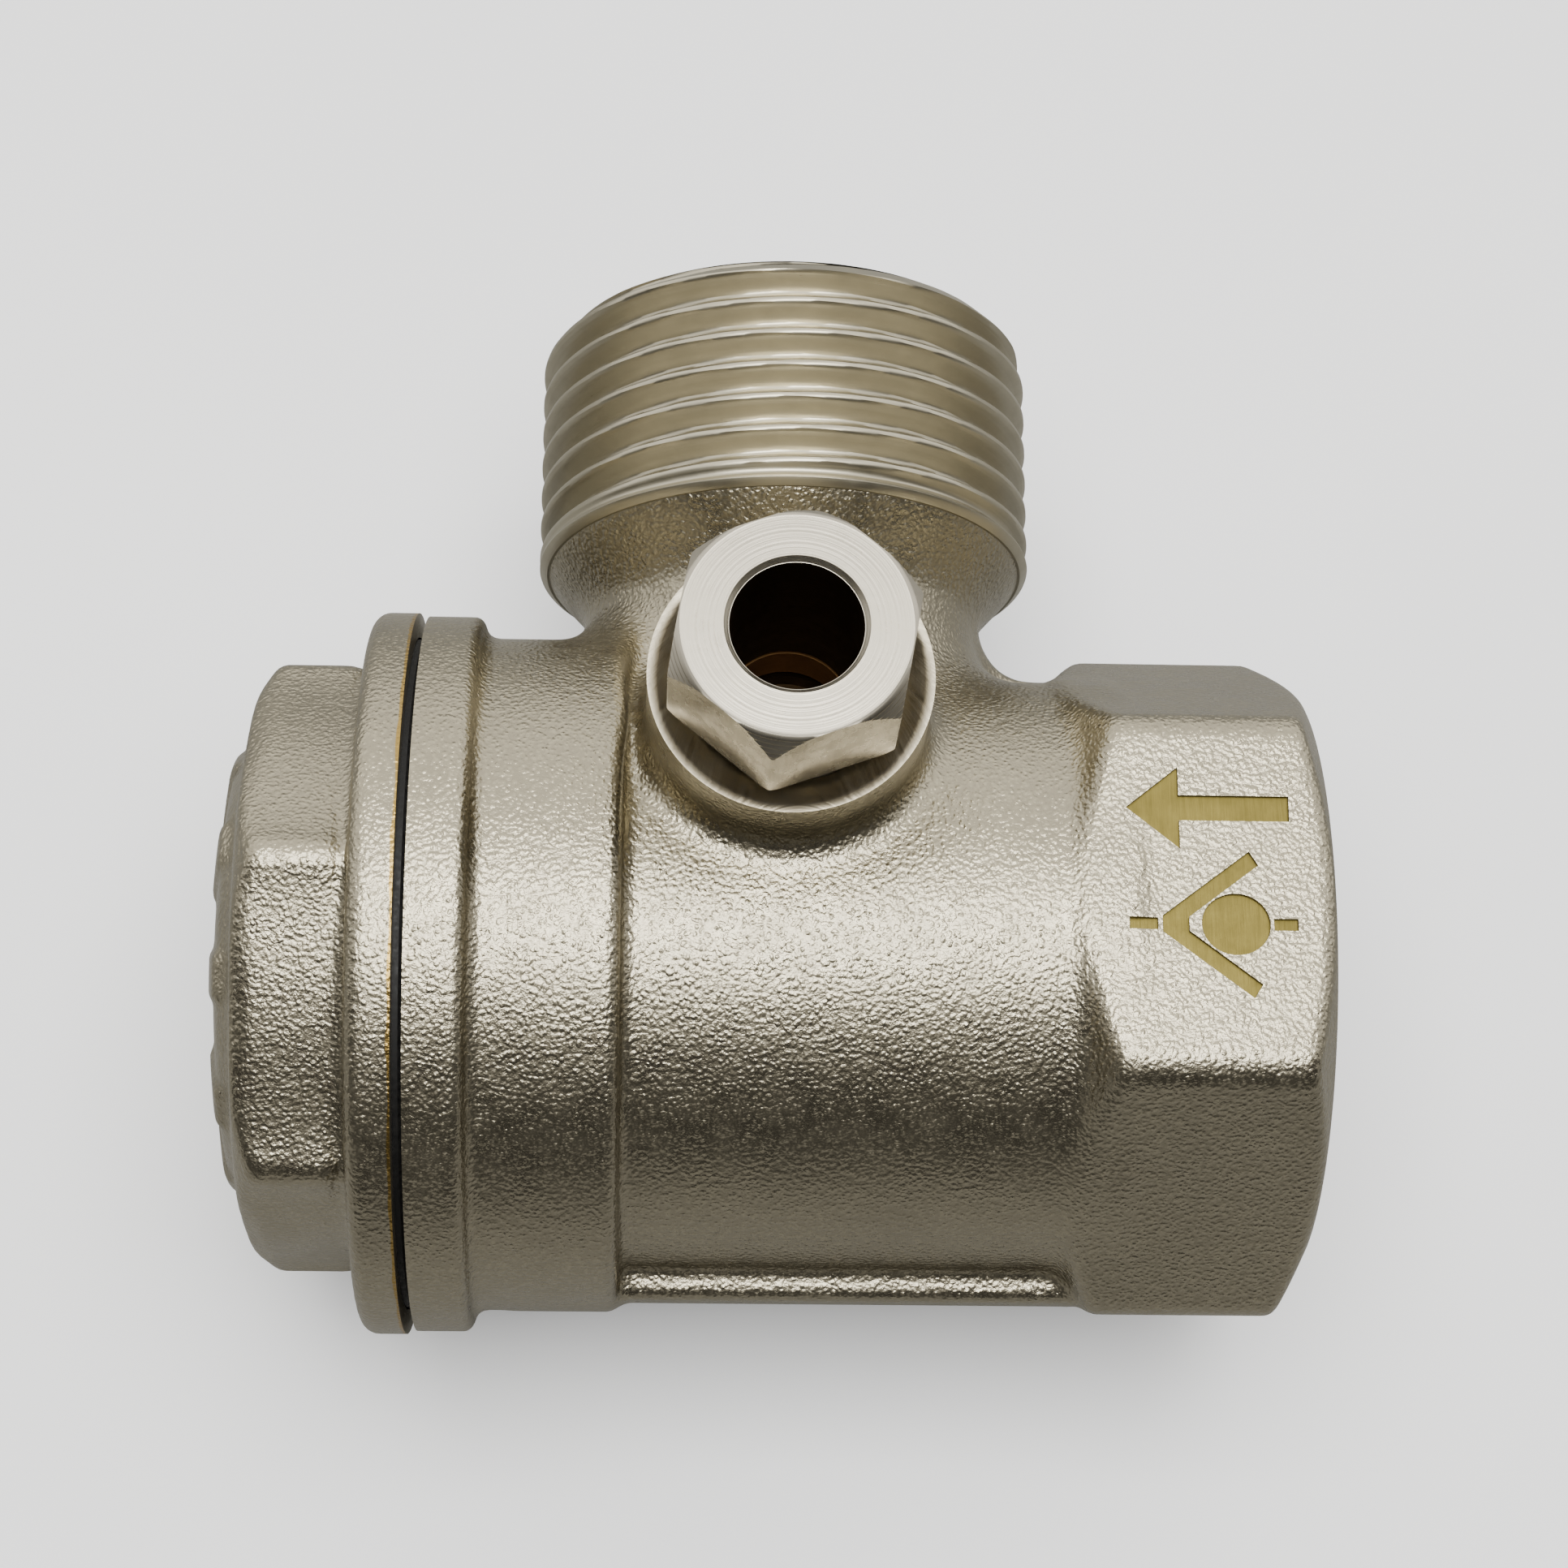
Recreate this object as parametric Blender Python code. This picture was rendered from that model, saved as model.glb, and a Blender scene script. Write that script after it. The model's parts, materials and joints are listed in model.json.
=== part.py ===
"""Three-way check valve of an air compressor: forged body, screwed end plug, sprung check piston
and a compression fitting for a small tube.

The main axis runs along X, from the end plug (-X) to the female port (+X). The male stub points
along +Y and the small tube port along +Z. Sizes are in millimetres and angles in degrees; shapes
are made in metres. Places along X and Y are counted from the point where the stub's axis meets the
main axis, and one empty then carries everything to the model's origin, the middle of its base.
"""

import math

import bmesh
import bpy
from mathutils import Vector

MM = 0.001
MERGE = 1e-7
LARGE_SIDES = 40
SMALL_SIDES = 24
THREAD_STEPS = 24

# Clearances
RUNNING = 0.1
REST = 0.3
SIDE_PLAY = 0.3
OVERLAP = 1.5

# Body along the main axis
BODY_LENGTH = 44.9
GASKET_FACE_TO_STUB = 18.6
COLLAR_WIDTH = 2.6
COLLAR_BEVEL = 1.1
BARREL_END_TO_STUB = 8.7
BARREL_STEP = 0.8
HEX_LENGTH = 12.4
HEX_ACROSS_FLATS = 31.2
HEX_CORNER_R = 17.7
HEX_CORNER_RISE = 1.7
HEX_END_CHAMFER = 1.3
HEX_FACE_INSET = 0.3

# Bores along the main axis
PLUG_THREAD_R = 14.0
PLUG_THREAD_DEPTH = 9.4
PLUG_WALL = 3.4
CHAMBER_R = 9.5
CHAMBER_WALL = 6.0
LOWER_HALF_STEP = 1.5
PARTING_ANGLE = 1.0
SEAT_WALL_TO_STUB = 5.0
SEAT_WALL = 2.5
SEAT_LIP_HEIGHT = 0.8
SEAT_LIP_WIDTH = 1.0
ORIFICE_R = 5.0
INLET_R = 8.2
FEMALE_THREAD_R = 9.32
FEMALE_THREAD_DEPTH = 14.3
FEMALE_CHAMFER = 1.6

# Male stub
STUB_REACH = 35.4
STUB_THREAD_R = 13.22
STUB_THREAD_DEPTH = 1.162
STUB_THREAD_PITCH = 1.814
STUB_THREAD_HALF_ANGLE = 27.5
STUB_THREAD_LENGTH = 11.7
THREAD_CUT_ABOVE = 0.15
STUB_TIP_CHAMFER = 1.0
STUB_HEAD_LENGTH = 15.4
STUB_NECK_R = 10.3
STUB_BORE_R = 8.0
STUB_BORE_DEPTH = 17.4
STUB_PASSAGE_R = 6.0
STUB_PASSAGE_INSET = 2.5
# Points of the head's underside: shares of its rise, along the axis and outward
STUB_FLARE = ((0.2, 0.2), (0.75, 0.7), (1.2, 1.0))

# Small tube port
PORT_X = -0.4
PORT_Y = 9.2
PORT_RIM_Z = 20.0
PORT_LIP = 0.32
PORT_FILLET = 0.48
PORT_FILLET_HEIGHT = 1.0
PORT_THREAD_R = 5.0
PORT_COUNTERSINK = 1.6
PORT_SEAT_STEP = 0.5
PORT_SEAT_DEPTH = 0.7
TUBE_R = 3.0
TUBE_CLEARANCE = 0.15
TUBE_POCKET_DEPTH = 1.15
GALLERY_R = 1.0
GALLERY_ANGLE = 45.0
# Where the gallery starts and ends: shares of the pocket's radius and depth, and of the inlet's radius
GALLERY_START = (0.75, -0.1, 0.6)
GALLERY_REACH = 0.9

# Gland nut and olive
NUT_SHOULDER = 0.6
NUT_CORNER_ANGLE = 20.0
NUT_HEAD_HEIGHT = 5.8
NUT_HEAD_GAP = 0.9
NUT_FACE_INSET = 0.01
NUT_CONE_HEIGHT = 1.6
NUT_SHANK_LENGTH = 6.9
NUT_LEAD_IN = 0.25
NUT_SHANK_CHAMFER = 0.4
NUT_CONE_EDGE = 0.6
OLIVE_END_WALL = 0.25
OLIVE_LIFT = 0.6
OLIVE_TOP_GAP = 0.35

# End plug and its gasket
PLUG_FLANGE_WIDTH = 2.27
PLUG_FLANGE_ROUND = 0.9
PLUG_FLANGE_ROUND_STEP = 0.27
GASKET_SLIT = 0.53
GASKET_RECESS = 0.6
GASKET_GRIP = 0.1
GASKET_WIDTH = 3.0
FLANGE_MARGIN = 1.36
COLLAR_INSET = 0.16
PLUG_NECK_WIDTH = 0.8
PLUG_NECK_R = 13.6
PLUG_HEX_WIDTH = 4.8
PLUG_HEX_ACROSS_FLATS = 28.0
PLUG_HEX_CORNER_R = 15.9
PLUG_HEX_FLAT_ANGLE = 25.0
PLUG_HEX_CHAMFER = 1.0
PLUG_HEX_CHAMFER_LEFT = 0.3
PLUG_HEX_CHAMFER_RIGHT = 1.6
PLUG_DOME_R = 12.6
PLUG_DOME_STEPS = (0, 0.6, 0.85, 1)
PLUG_DOME_POWER = 6
PLUG_DOME_HEIGHT = 2.4
PLUG_SKIRT_LENGTH = 8.6
GUIDE_WALL = 1.3
GUIDE_FLOOR = 1.8

# Check piston, its seal and its spring
CHECK_LIFT = 4.0
LIFT_STOP = 0.3
STEM_R = 3.5
PISTON_GAP = 1.5
PISTON_PLATE = 1.7
PISTON_RIM = 0.9
PISTON_CUP_DEPTH = 1.8
STEM_LENGTH = 11.4
SEAL_THICKNESS = 2.5
WASHER_R = 3.6
WASHER_THICKNESS = 0.8
SCREW_HEAD_R = 2.6
SCREW_HEAD_HEIGHT = 1.6
SCREW_HEAD_CHAMFER = 0.3
SCREW_R = 1.4
SCREW_DEPTH = 3.2
SCREW_SLOT_WIDTH = 0.7
SCREW_SLOT_DEPTH = 0.7
SPRING_WIRE_R = 0.35
SPRING_TURNS = 5
SPRING_END_TURNS = 1
SPRING_END_GAP = 0.04
SPRING_STEPS = 16

# Places along the main axis
BODY_LEFT = -GASKET_FACE_TO_STUB
BODY_RIGHT = BODY_LEFT + BODY_LENGTH
HEX_LEFT = BODY_RIGHT - HEX_LENGTH
SEAT_LIP_X = SEAT_WALL_TO_STUB - SEAT_LIP_HEIGHT
INLET_X = SEAT_WALL_TO_STUB + SEAT_WALL
FEMALE_THREAD_X = BODY_RIGHT - FEMALE_THREAD_DEPTH
FLANGE_RIGHT = BODY_LEFT - GASKET_SLIT
FLANGE_LEFT = FLANGE_RIGHT - PLUG_FLANGE_WIDTH
PLUG_HEX_RIGHT = FLANGE_LEFT - PLUG_NECK_WIDTH
PLUG_HEX_LEFT = PLUG_HEX_RIGHT - PLUG_HEX_WIDTH
PLUG_LEFT = PLUG_HEX_LEFT - PLUG_DOME_HEIGHT
SEAL_RIGHT = SEAT_LIP_X - REST
SEAL_LEFT = SEAL_RIGHT - SEAL_THICKNESS
CUP_FLOOR = SEAL_LEFT - REST
PISTON_BACK = CUP_FLOOR - PISTON_PLATE
STEM_END = PISTON_BACK - STEM_LENGTH
SKIRT_END = BODY_LEFT + PLUG_SKIRT_LENGTH
GUIDE_END = PISTON_BACK - CHECK_LIFT - LIFT_STOP
GUIDE_BOTTOM = STEM_END - CHECK_LIFT - GUIDE_FLOOR

# Radii that follow from others
BARREL_R = PLUG_THREAD_R + PLUG_WALL
GASKET_IN_R = PLUG_THREAD_R + SIDE_PLAY
GASKET_OUT_R = GASKET_IN_R + GASKET_WIDTH
FLANGE_R = GASKET_OUT_R + FLANGE_MARGIN
COLLAR_R = FLANGE_R - COLLAR_INSET
MIDDLE_R = CHAMBER_R + CHAMBER_WALL
LOWER_R = MIDDLE_R + LOWER_HALF_STEP
SEAT_LIP_R = ORIFICE_R + SEAT_LIP_WIDTH
TUBE_BORE_R = TUBE_R + TUBE_CLEARANCE
GUIDE_BORE_R = STEM_R + RUNNING
GUIDE_R = GUIDE_BORE_R + GUIDE_WALL
PISTON_R = CHAMBER_R - PISTON_GAP
CUP_R = PISTON_R - PISTON_RIM
SEAL_R = CUP_R - SIDE_PLAY
SCREW_HOLE_R = SCREW_R + SIDE_PLAY
SPRING_MEAN_R = GUIDE_R + SIDE_PLAY + SPRING_WIRE_R

# Places along the small port
NUT_HEAD_Z = PORT_RIM_Z + NUT_HEAD_GAP
NUT_TOP_Z = NUT_HEAD_Z + NUT_HEAD_HEIGHT
NUT_END_Z = NUT_HEAD_Z - NUT_SHANK_LENGTH
NUT_SHANK_R = PORT_THREAD_R - RUNNING
NUT_ACROSS_FLATS = 2 * (NUT_SHANK_R + NUT_SHOULDER)
NUT_FACE_R = NUT_ACROSS_FLATS / 2 - NUT_FACE_INSET
PORT_RIM_R = PORT_THREAD_R + PORT_COUNTERSINK + PORT_LIP
PORT_SEAT_R = PORT_THREAD_R - PORT_SEAT_STEP
OLIVE_R = PORT_SEAT_R - REST
OLIVE_END_R = TUBE_BORE_R + OLIVE_END_WALL
NUT_CONE_R = NUT_SHANK_R - NUT_CONE_EDGE
PORT_THREAD_Z = NUT_END_Z - REST
PORT_CONE_TOP_Z = PORT_THREAD_Z - PORT_SEAT_DEPTH
PORT_CONE_Z = PORT_CONE_TOP_Z - (PORT_SEAT_R - TUBE_BORE_R)
POCKET_Z = PORT_CONE_Z - TUBE_POCKET_DEPTH
OLIVE_Z = PORT_CONE_Z + OLIVE_LIFT
OLIVE_TOP_Z = NUT_END_Z + NUT_CONE_R - TUBE_BORE_R - OLIVE_TOP_GAP

MODEL_SHIFT = Vector((
    -(PLUG_LEFT + BODY_RIGHT) / 2,
    -(STUB_REACH - FLANGE_R) / 2,
    FLANGE_R,
))

# For each axis: the direction along it, the direction of angle 0, and the direction of angle 90
AXES = {
    "X": (Vector((1, 0, 0)), Vector((0, 0, 1)), Vector((0, -1, 0))),
    "Y": (Vector((0, 1, 0)), Vector((0, 0, 1)), Vector((1, 0, 0))),
    "Z": (Vector((0, 0, 1)), Vector((1, 0, 0)), Vector((0, 1, 0))),
}


def clear_scene():
    for old in list(bpy.data.objects):
        bpy.data.objects.remove(old, do_unlink=True)


def material(name, colour, roughness, metallic):
    finish = bpy.data.materials.new(name)
    finish.use_nodes = True
    shader = finish.node_tree.nodes["Principled BSDF"]
    shader.inputs["Base Color"].default_value = (*colour, 1.0)
    shader.inputs["Roughness"].default_value = roughness
    shader.inputs["Metallic"].default_value = metallic
    return finish


def place(item, where, finish=None):
    """Carries an object by the model's empty; where is its own origin, counted as the sizes are."""
    item.parent = bpy.data.objects["model_origin"]
    item.location = Vector(where) * MM
    if finish:
        item.data.materials.append(finish)
    return item


def mesh_object(name, bm):
    bmesh.ops.recalc_face_normals(bm, faces=bm.faces)
    mesh = bpy.data.meshes.new(name)
    bm.to_mesh(mesh)
    bm.free()
    mesh.shade_smooth()
    mesh.set_sharp_from_angle(angle=math.radians(30))
    item = bpy.data.objects.new(name, mesh)
    bpy.context.scene.collection.objects.link(item)
    return item


def turned(name, outline, axis, sides=LARGE_SIDES):
    """An outline of (along, radius) points spun about the axis through the object's origin.

    It starts and ends on the axis for a solid piece; otherwise it closes on itself as a ring.
    """
    along, out, _ = AXES[axis]
    bm = bmesh.new()
    points = [bm.verts.new((along * a + out * r) * MM) for a, r in outline]
    pairs = list(zip(points, points[1:]))
    if outline[0][1] > 0:
        pairs.append((points[-1], points[0]))
    edges = [bm.edges.new(pair) for pair in pairs]
    bmesh.ops.spin(bm, geom=points + edges, cent=(0, 0, 0), axis=along, angle=math.tau,
                   steps=sides, use_merge=True, dvec=(0, 0, 0))
    bmesh.ops.remove_doubles(bm, verts=bm.verts, dist=MERGE)
    return mesh_object(name, bm)


def arc(count, radius, first, last):
    """Points of an arc, as (toward angle 0, toward angle 90)."""
    angles = [math.radians(first + (last - first) * i / (count - 1)) for i in range(count)]
    return [(radius * math.cos(a), radius * math.sin(a)) for a in angles]


def hexagon(across_flats, first_corner):
    corner_r = across_flats / math.sqrt(3)
    return arc(7, corner_r, first_corner, first_corner + 360)[:6]


def prism(name, outline, axis, start, end):
    """A flat outline across the axis, extruded from start to end along it."""
    along, out, side = AXES[axis]
    bm = bmesh.new()
    corners = [bm.verts.new((along * start + out * u + side * v) * MM) for u, v in outline]
    face = bm.faces.new(corners)
    grown = bmesh.ops.extrude_face_region(bm, geom=[face])
    moved = [part for part in grown["geom"] if isinstance(part, bmesh.types.BMVert)]
    bmesh.ops.translate(bm, verts=moved, vec=along * (end - start) * MM)
    return mesh_object(name, bm)


def boolean(target, tool, operation, solver="EXACT"):
    """Joins, cuts or trims the target by the tool, which is then only a guide."""
    step = target.modifiers.new(f"{operation.lower()} {tool.name}", "BOOLEAN")
    step.operation = operation
    step.solver = solver
    step.object = tool
    tool.hide_render = True
    tool.display_type = "WIRE"


def drill(name, start, end, radius):
    """A plain round cutter between two points."""
    way = Vector(end) - Vector(start)
    bm = bmesh.new()
    turn = way.to_track_quat("Z", "Y").to_matrix().to_4x4()
    turn.translation = (Vector(start) + way / 2) * MM
    bmesh.ops.create_cone(bm, cap_ends=True, segments=SMALL_SIDES // 2, radius1=radius * MM,
                          radius2=radius * MM, depth=way.length * MM, matrix=turn)
    return place(mesh_object(name, bm), (0, 0, 0))


def thread_groove():
    """The helical groove that leaves the stub's outside thread: a trapezium swept up the axis."""
    along, out, side = AXES["Y"]
    above = THREAD_CUT_ABOVE
    slope = math.tan(math.radians(STUB_THREAD_HALF_ANGLE))
    root_half = (STUB_THREAD_PITCH - 2 * STUB_THREAD_DEPTH * slope) / 4
    top_half = root_half + (STUB_THREAD_DEPTH + above) * slope
    root_r = STUB_THREAD_R - STUB_THREAD_DEPTH
    profile = [(-root_half, root_r), (root_half, root_r),
               (top_half, STUB_THREAD_R + above), (-top_half, STUB_THREAD_R + above)]
    bottom = STUB_REACH - STUB_THREAD_LENGTH
    turns = (STUB_THREAD_LENGTH + STUB_THREAD_PITCH) / STUB_THREAD_PITCH
    bm = bmesh.new()
    rings = []
    for step in range(round(turns * THREAD_STEPS) + 1):
        angle = math.tau * step / THREAD_STEPS
        radial = out * math.cos(angle) + side * math.sin(angle)
        rise = bottom + STUB_THREAD_PITCH * step / THREAD_STEPS
        rings.append([bm.verts.new((along * (rise + a) + radial * r) * MM) for a, r in profile])
    for low, high in zip(rings, rings[1:]):
        for i in range(len(profile)):
            j = (i + 1) % len(profile)
            bm.faces.new((low[i], low[j], high[j], high[i]))
    bm.faces.new(rings[0])
    bm.faces.new(rings[-1])
    return place(mesh_object("thread_groove", bm), (0, 0, 0))


def main_forging():
    """Collar, barrel and middle, turned about the main axis."""
    collar_right = BODY_LEFT + COLLAR_WIDTH
    barrel_right = -BARREL_END_TO_STUB
    outline = [
        (BODY_LEFT, 0), (BODY_LEFT, COLLAR_R), (collar_right, COLLAR_R),
        (collar_right + COLLAR_BEVEL, BARREL_R), (barrel_right, BARREL_R),
        (barrel_right + BARREL_STEP, MIDDLE_R), (HEX_LEFT + OVERLAP, MIDDLE_R),
        (HEX_LEFT + OVERLAP, 0),
    ]
    return turned("valve_body", outline, "X")


def lower_half():
    """The half below the parting plane stands proud of the half above it."""
    outline = arc(LARGE_SIDES // 2 + 1, LOWER_R, 90 + PARTING_ANGLE, 270 - PARTING_ANGLE)
    return prism("lower_half", outline, "X", -BARREL_END_TO_STUB - OVERLAP, HEX_LEFT + OVERLAP / 2)


def hex_end():
    """Hexagon trimmed by a turned shape, which rounds its corners and chamfers its ends."""
    corners = hexagon(HEX_ACROSS_FLATS, 30)
    hexed = prism("hex_end", corners, "X", HEX_LEFT - 2 * OVERLAP, BODY_RIGHT)
    rise = HEX_CORNER_R - MIDDLE_R
    face_r = HEX_ACROSS_FLATS / 2 - HEX_FACE_INSET
    outline = [
        (HEX_LEFT - HEX_CORNER_RISE, 0), (HEX_LEFT - HEX_CORNER_RISE, MIDDLE_R - rise),
        (HEX_LEFT + HEX_CORNER_RISE, HEX_CORNER_R), (BODY_RIGHT - HEX_END_CHAMFER, HEX_CORNER_R),
        (BODY_RIGHT, face_r), (BODY_RIGHT + OVERLAP, face_r - OVERLAP), (BODY_RIGHT + OVERLAP, 0),
    ]
    envelope = place(turned("hex_end_envelope", outline, "X"), (0, 0, 0))
    boolean(hexed, envelope, "INTERSECT")
    return hexed


def stub():
    head = STUB_REACH - STUB_HEAD_LENGTH
    rise = STUB_THREAD_R - STUB_NECK_R
    outline = [
        (OVERLAP, 0), (OVERLAP, STUB_NECK_R), (head, STUB_NECK_R),
        *((head + along * rise, STUB_NECK_R + out * rise) for along, out in STUB_FLARE),
        (STUB_REACH - STUB_TIP_CHAMFER, STUB_THREAD_R),
        (STUB_REACH, STUB_THREAD_R - STUB_TIP_CHAMFER), (STUB_REACH, 0),
    ]
    return turned("stub", outline, "Y", THREAD_STEPS)


def port_boss():
    foot_r = PORT_RIM_R + PORT_FILLET
    outline = [
        (OVERLAP, 0), (OVERLAP, foot_r), (MIDDLE_R - PORT_FILLET_HEIGHT, foot_r),
        (MIDDLE_R + PORT_FILLET_HEIGHT, PORT_RIM_R),
        (PORT_RIM_Z, PORT_RIM_R), (PORT_RIM_Z, 0),
    ]
    return turned("port_boss", outline, "Z", THREAD_STEPS)


def main_bore():
    """Plug thread, chamber, raised seat, orifice, inlet and female thread in one turned cutter."""
    outline = [
        (BODY_LEFT - OVERLAP, 0), (BODY_LEFT - OVERLAP, PLUG_THREAD_R),
        (BODY_LEFT + PLUG_THREAD_DEPTH, PLUG_THREAD_R), (BODY_LEFT + PLUG_THREAD_DEPTH, CHAMBER_R),
        (SEAT_WALL_TO_STUB, CHAMBER_R), (SEAT_WALL_TO_STUB, SEAT_LIP_R), (SEAT_LIP_X, SEAT_LIP_R),
        (SEAT_LIP_X, ORIFICE_R), (INLET_X, ORIFICE_R), (INLET_X, INLET_R),
        (FEMALE_THREAD_X, INLET_R), (FEMALE_THREAD_X, FEMALE_THREAD_R),
        (BODY_RIGHT - FEMALE_CHAMFER, FEMALE_THREAD_R),
        (BODY_RIGHT, FEMALE_THREAD_R + FEMALE_CHAMFER),
        (BODY_RIGHT + OVERLAP, FEMALE_THREAD_R + FEMALE_CHAMFER), (BODY_RIGHT + OVERLAP, 0),
    ]
    return turned("main_bore", outline, "X")


def stub_bore():
    narrow = STUB_REACH - STUB_BORE_DEPTH
    start = CHAMBER_R - STUB_PASSAGE_INSET
    outline = [
        (start, 0), (start, STUB_PASSAGE_R),
        (narrow - (STUB_BORE_R - STUB_PASSAGE_R), STUB_PASSAGE_R), (narrow, STUB_BORE_R),
        (STUB_REACH + OVERLAP, STUB_BORE_R), (STUB_REACH + OVERLAP, 0),
    ]
    return turned("stub_bore", outline, "Y", THREAD_STEPS)


def port_bore():
    """Countersink, thread, olive seat and the pocket that the tube's end stands in."""
    mouth_r = PORT_THREAD_R + PORT_COUNTERSINK
    outline = [
        (POCKET_Z, 0), (POCKET_Z, TUBE_BORE_R), (PORT_CONE_Z, TUBE_BORE_R),
        (PORT_CONE_TOP_Z, PORT_SEAT_R), (PORT_THREAD_Z, PORT_SEAT_R),
        (PORT_THREAD_Z, PORT_THREAD_R), (PORT_RIM_Z - PORT_COUNTERSINK, PORT_THREAD_R),
        (PORT_RIM_Z, mouth_r), (PORT_RIM_Z + OVERLAP, mouth_r), (PORT_RIM_Z + OVERLAP, 0),
    ]
    return turned("port_bore", outline, "Z", SMALL_SIDES)


def gallery():
    """The slanted hole that joins the small port to the inlet, upstream of the seat."""
    right, back, rise = GALLERY_START
    start = (PORT_X + right * TUBE_BORE_R, PORT_Y + back * TUBE_BORE_R,
             POCKET_Z + rise * TUBE_POCKET_DEPTH)
    reach = INLET_R * GALLERY_REACH
    end = ((INLET_X + FEMALE_THREAD_X) / 2, reach * math.cos(math.radians(GALLERY_ANGLE)),
           reach * math.sin(math.radians(GALLERY_ANGLE)))
    return drill("gallery", start, end, GALLERY_R)


def valve_body(finish):
    """The forging. Its steps use the manifold solver, because the exact one leaves open edges where
    a wider barrel meets the stub."""
    body = place(main_forging(), (0, 0, 0), finish)
    centre = (0, 0, 0)
    port = (PORT_X, PORT_Y, 0)
    steps = [
        (lower_half(), centre, "UNION"), (hex_end(), centre, "UNION"), (stub(), centre, "UNION"),
        (port_boss(), port, "UNION"), (main_bore(), centre, "DIFFERENCE"),
        (stub_bore(), centre, "DIFFERENCE"), (port_bore(), port, "DIFFERENCE"),
        (gallery(), centre, "DIFFERENCE"), (thread_groove(), centre, "DIFFERENCE"),
    ]
    for tool, place_of_tool, operation in steps:
        boolean(body, place(tool, place_of_tool), operation, "MANIFOLD")


def end_plug(finish):
    """Flange, skirt and guide sleeve in one turned piece, joined to a trimmed hexagon."""
    chamfer = PLUG_FLANGE_ROUND
    step = PLUG_FLANGE_ROUND_STEP
    outline = [
        (PLUG_HEX_LEFT + OVERLAP, 0), (PLUG_HEX_LEFT + OVERLAP, PLUG_NECK_R),
        (FLANGE_LEFT, PLUG_NECK_R), (FLANGE_LEFT, FLANGE_R - chamfer),
        (FLANGE_LEFT + step, FLANGE_R - step), (FLANGE_LEFT + chamfer, FLANGE_R),
        (FLANGE_RIGHT, FLANGE_R), (FLANGE_RIGHT, GASKET_OUT_R + GASKET_GRIP),
        (FLANGE_RIGHT - GASKET_RECESS, GASKET_OUT_R + GASKET_GRIP),
        (FLANGE_RIGHT - GASKET_RECESS, PLUG_THREAD_R - RUNNING),
        (SKIRT_END, PLUG_THREAD_R - RUNNING), (SKIRT_END, GUIDE_R), (GUIDE_END, GUIDE_R),
        (GUIDE_END, GUIDE_BORE_R), (GUIDE_BOTTOM, GUIDE_BORE_R), (GUIDE_BOTTOM, 0),
    ]
    plug = place(turned("end_plug", outline, "X"), (0, 0, 0), finish)
    corners = hexagon(PLUG_HEX_ACROSS_FLATS, PLUG_HEX_FLAT_ANGLE + 30)
    head = place(prism("plug_hex", corners, "X", PLUG_LEFT - OVERLAP, PLUG_HEX_RIGHT), (0, 0, 0))
    rim_r = PLUG_HEX_CORNER_R - PLUG_HEX_CHAMFER
    dome = [
        (PLUG_LEFT + PLUG_DOME_HEIGHT * share ** PLUG_DOME_POWER, share * PLUG_DOME_R)
        for share in PLUG_DOME_STEPS
    ]
    outline = dome + [
        (PLUG_HEX_LEFT + PLUG_HEX_CHAMFER_LEFT, rim_r),
        (PLUG_HEX_LEFT + PLUG_HEX_CHAMFER_RIGHT, PLUG_HEX_CORNER_R),
        (PLUG_HEX_RIGHT - PLUG_HEX_CHAMFER, PLUG_HEX_CORNER_R),
        (PLUG_HEX_RIGHT, rim_r), (PLUG_HEX_RIGHT + OVERLAP, rim_r), (PLUG_HEX_RIGHT + OVERLAP, 0),
    ]
    envelope = place(turned("plug_hex_envelope", outline, "X"), (0, 0, 0))
    boolean(head, envelope, "INTERSECT")
    boolean(plug, head, "UNION")


def plug_gasket(finish):
    left = FLANGE_RIGHT - GASKET_RECESS + GASKET_GRIP
    right = BODY_LEFT - GASKET_GRIP
    outline = [(left, GASKET_IN_R), (left, GASKET_OUT_R), (right, GASKET_OUT_R), (right, GASKET_IN_R)]
    place(turned("plug_gasket", outline, "X"), (0, 0, 0), finish)


def check_piston(finish):
    """Guide stem, back plate and the shallow cup that holds the seal."""
    outline = [
        (STEM_END, 0), (STEM_END, STEM_R - REST), (STEM_END + REST, STEM_R), (PISTON_BACK, STEM_R),
        (PISTON_BACK, PISTON_R), (CUP_FLOOR + PISTON_CUP_DEPTH, PISTON_R),
        (CUP_FLOOR + PISTON_CUP_DEPTH, CUP_R), (CUP_FLOOR, CUP_R), (CUP_FLOOR, SCREW_HOLE_R),
        (CUP_FLOOR - SCREW_DEPTH - REST, SCREW_HOLE_R), (CUP_FLOOR - SCREW_DEPTH - REST, 0),
    ]
    place(turned("check_piston", outline, "X", SMALL_SIDES), (0, 0, 0), finish)


def flat_ring(name, left, right, inner, outer, finish):
    outline = [(left, inner), (left, outer), (right, outer), (right, inner)]
    place(turned(name, outline, "X", SMALL_SIDES), (0, 0, 0), finish)


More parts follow.
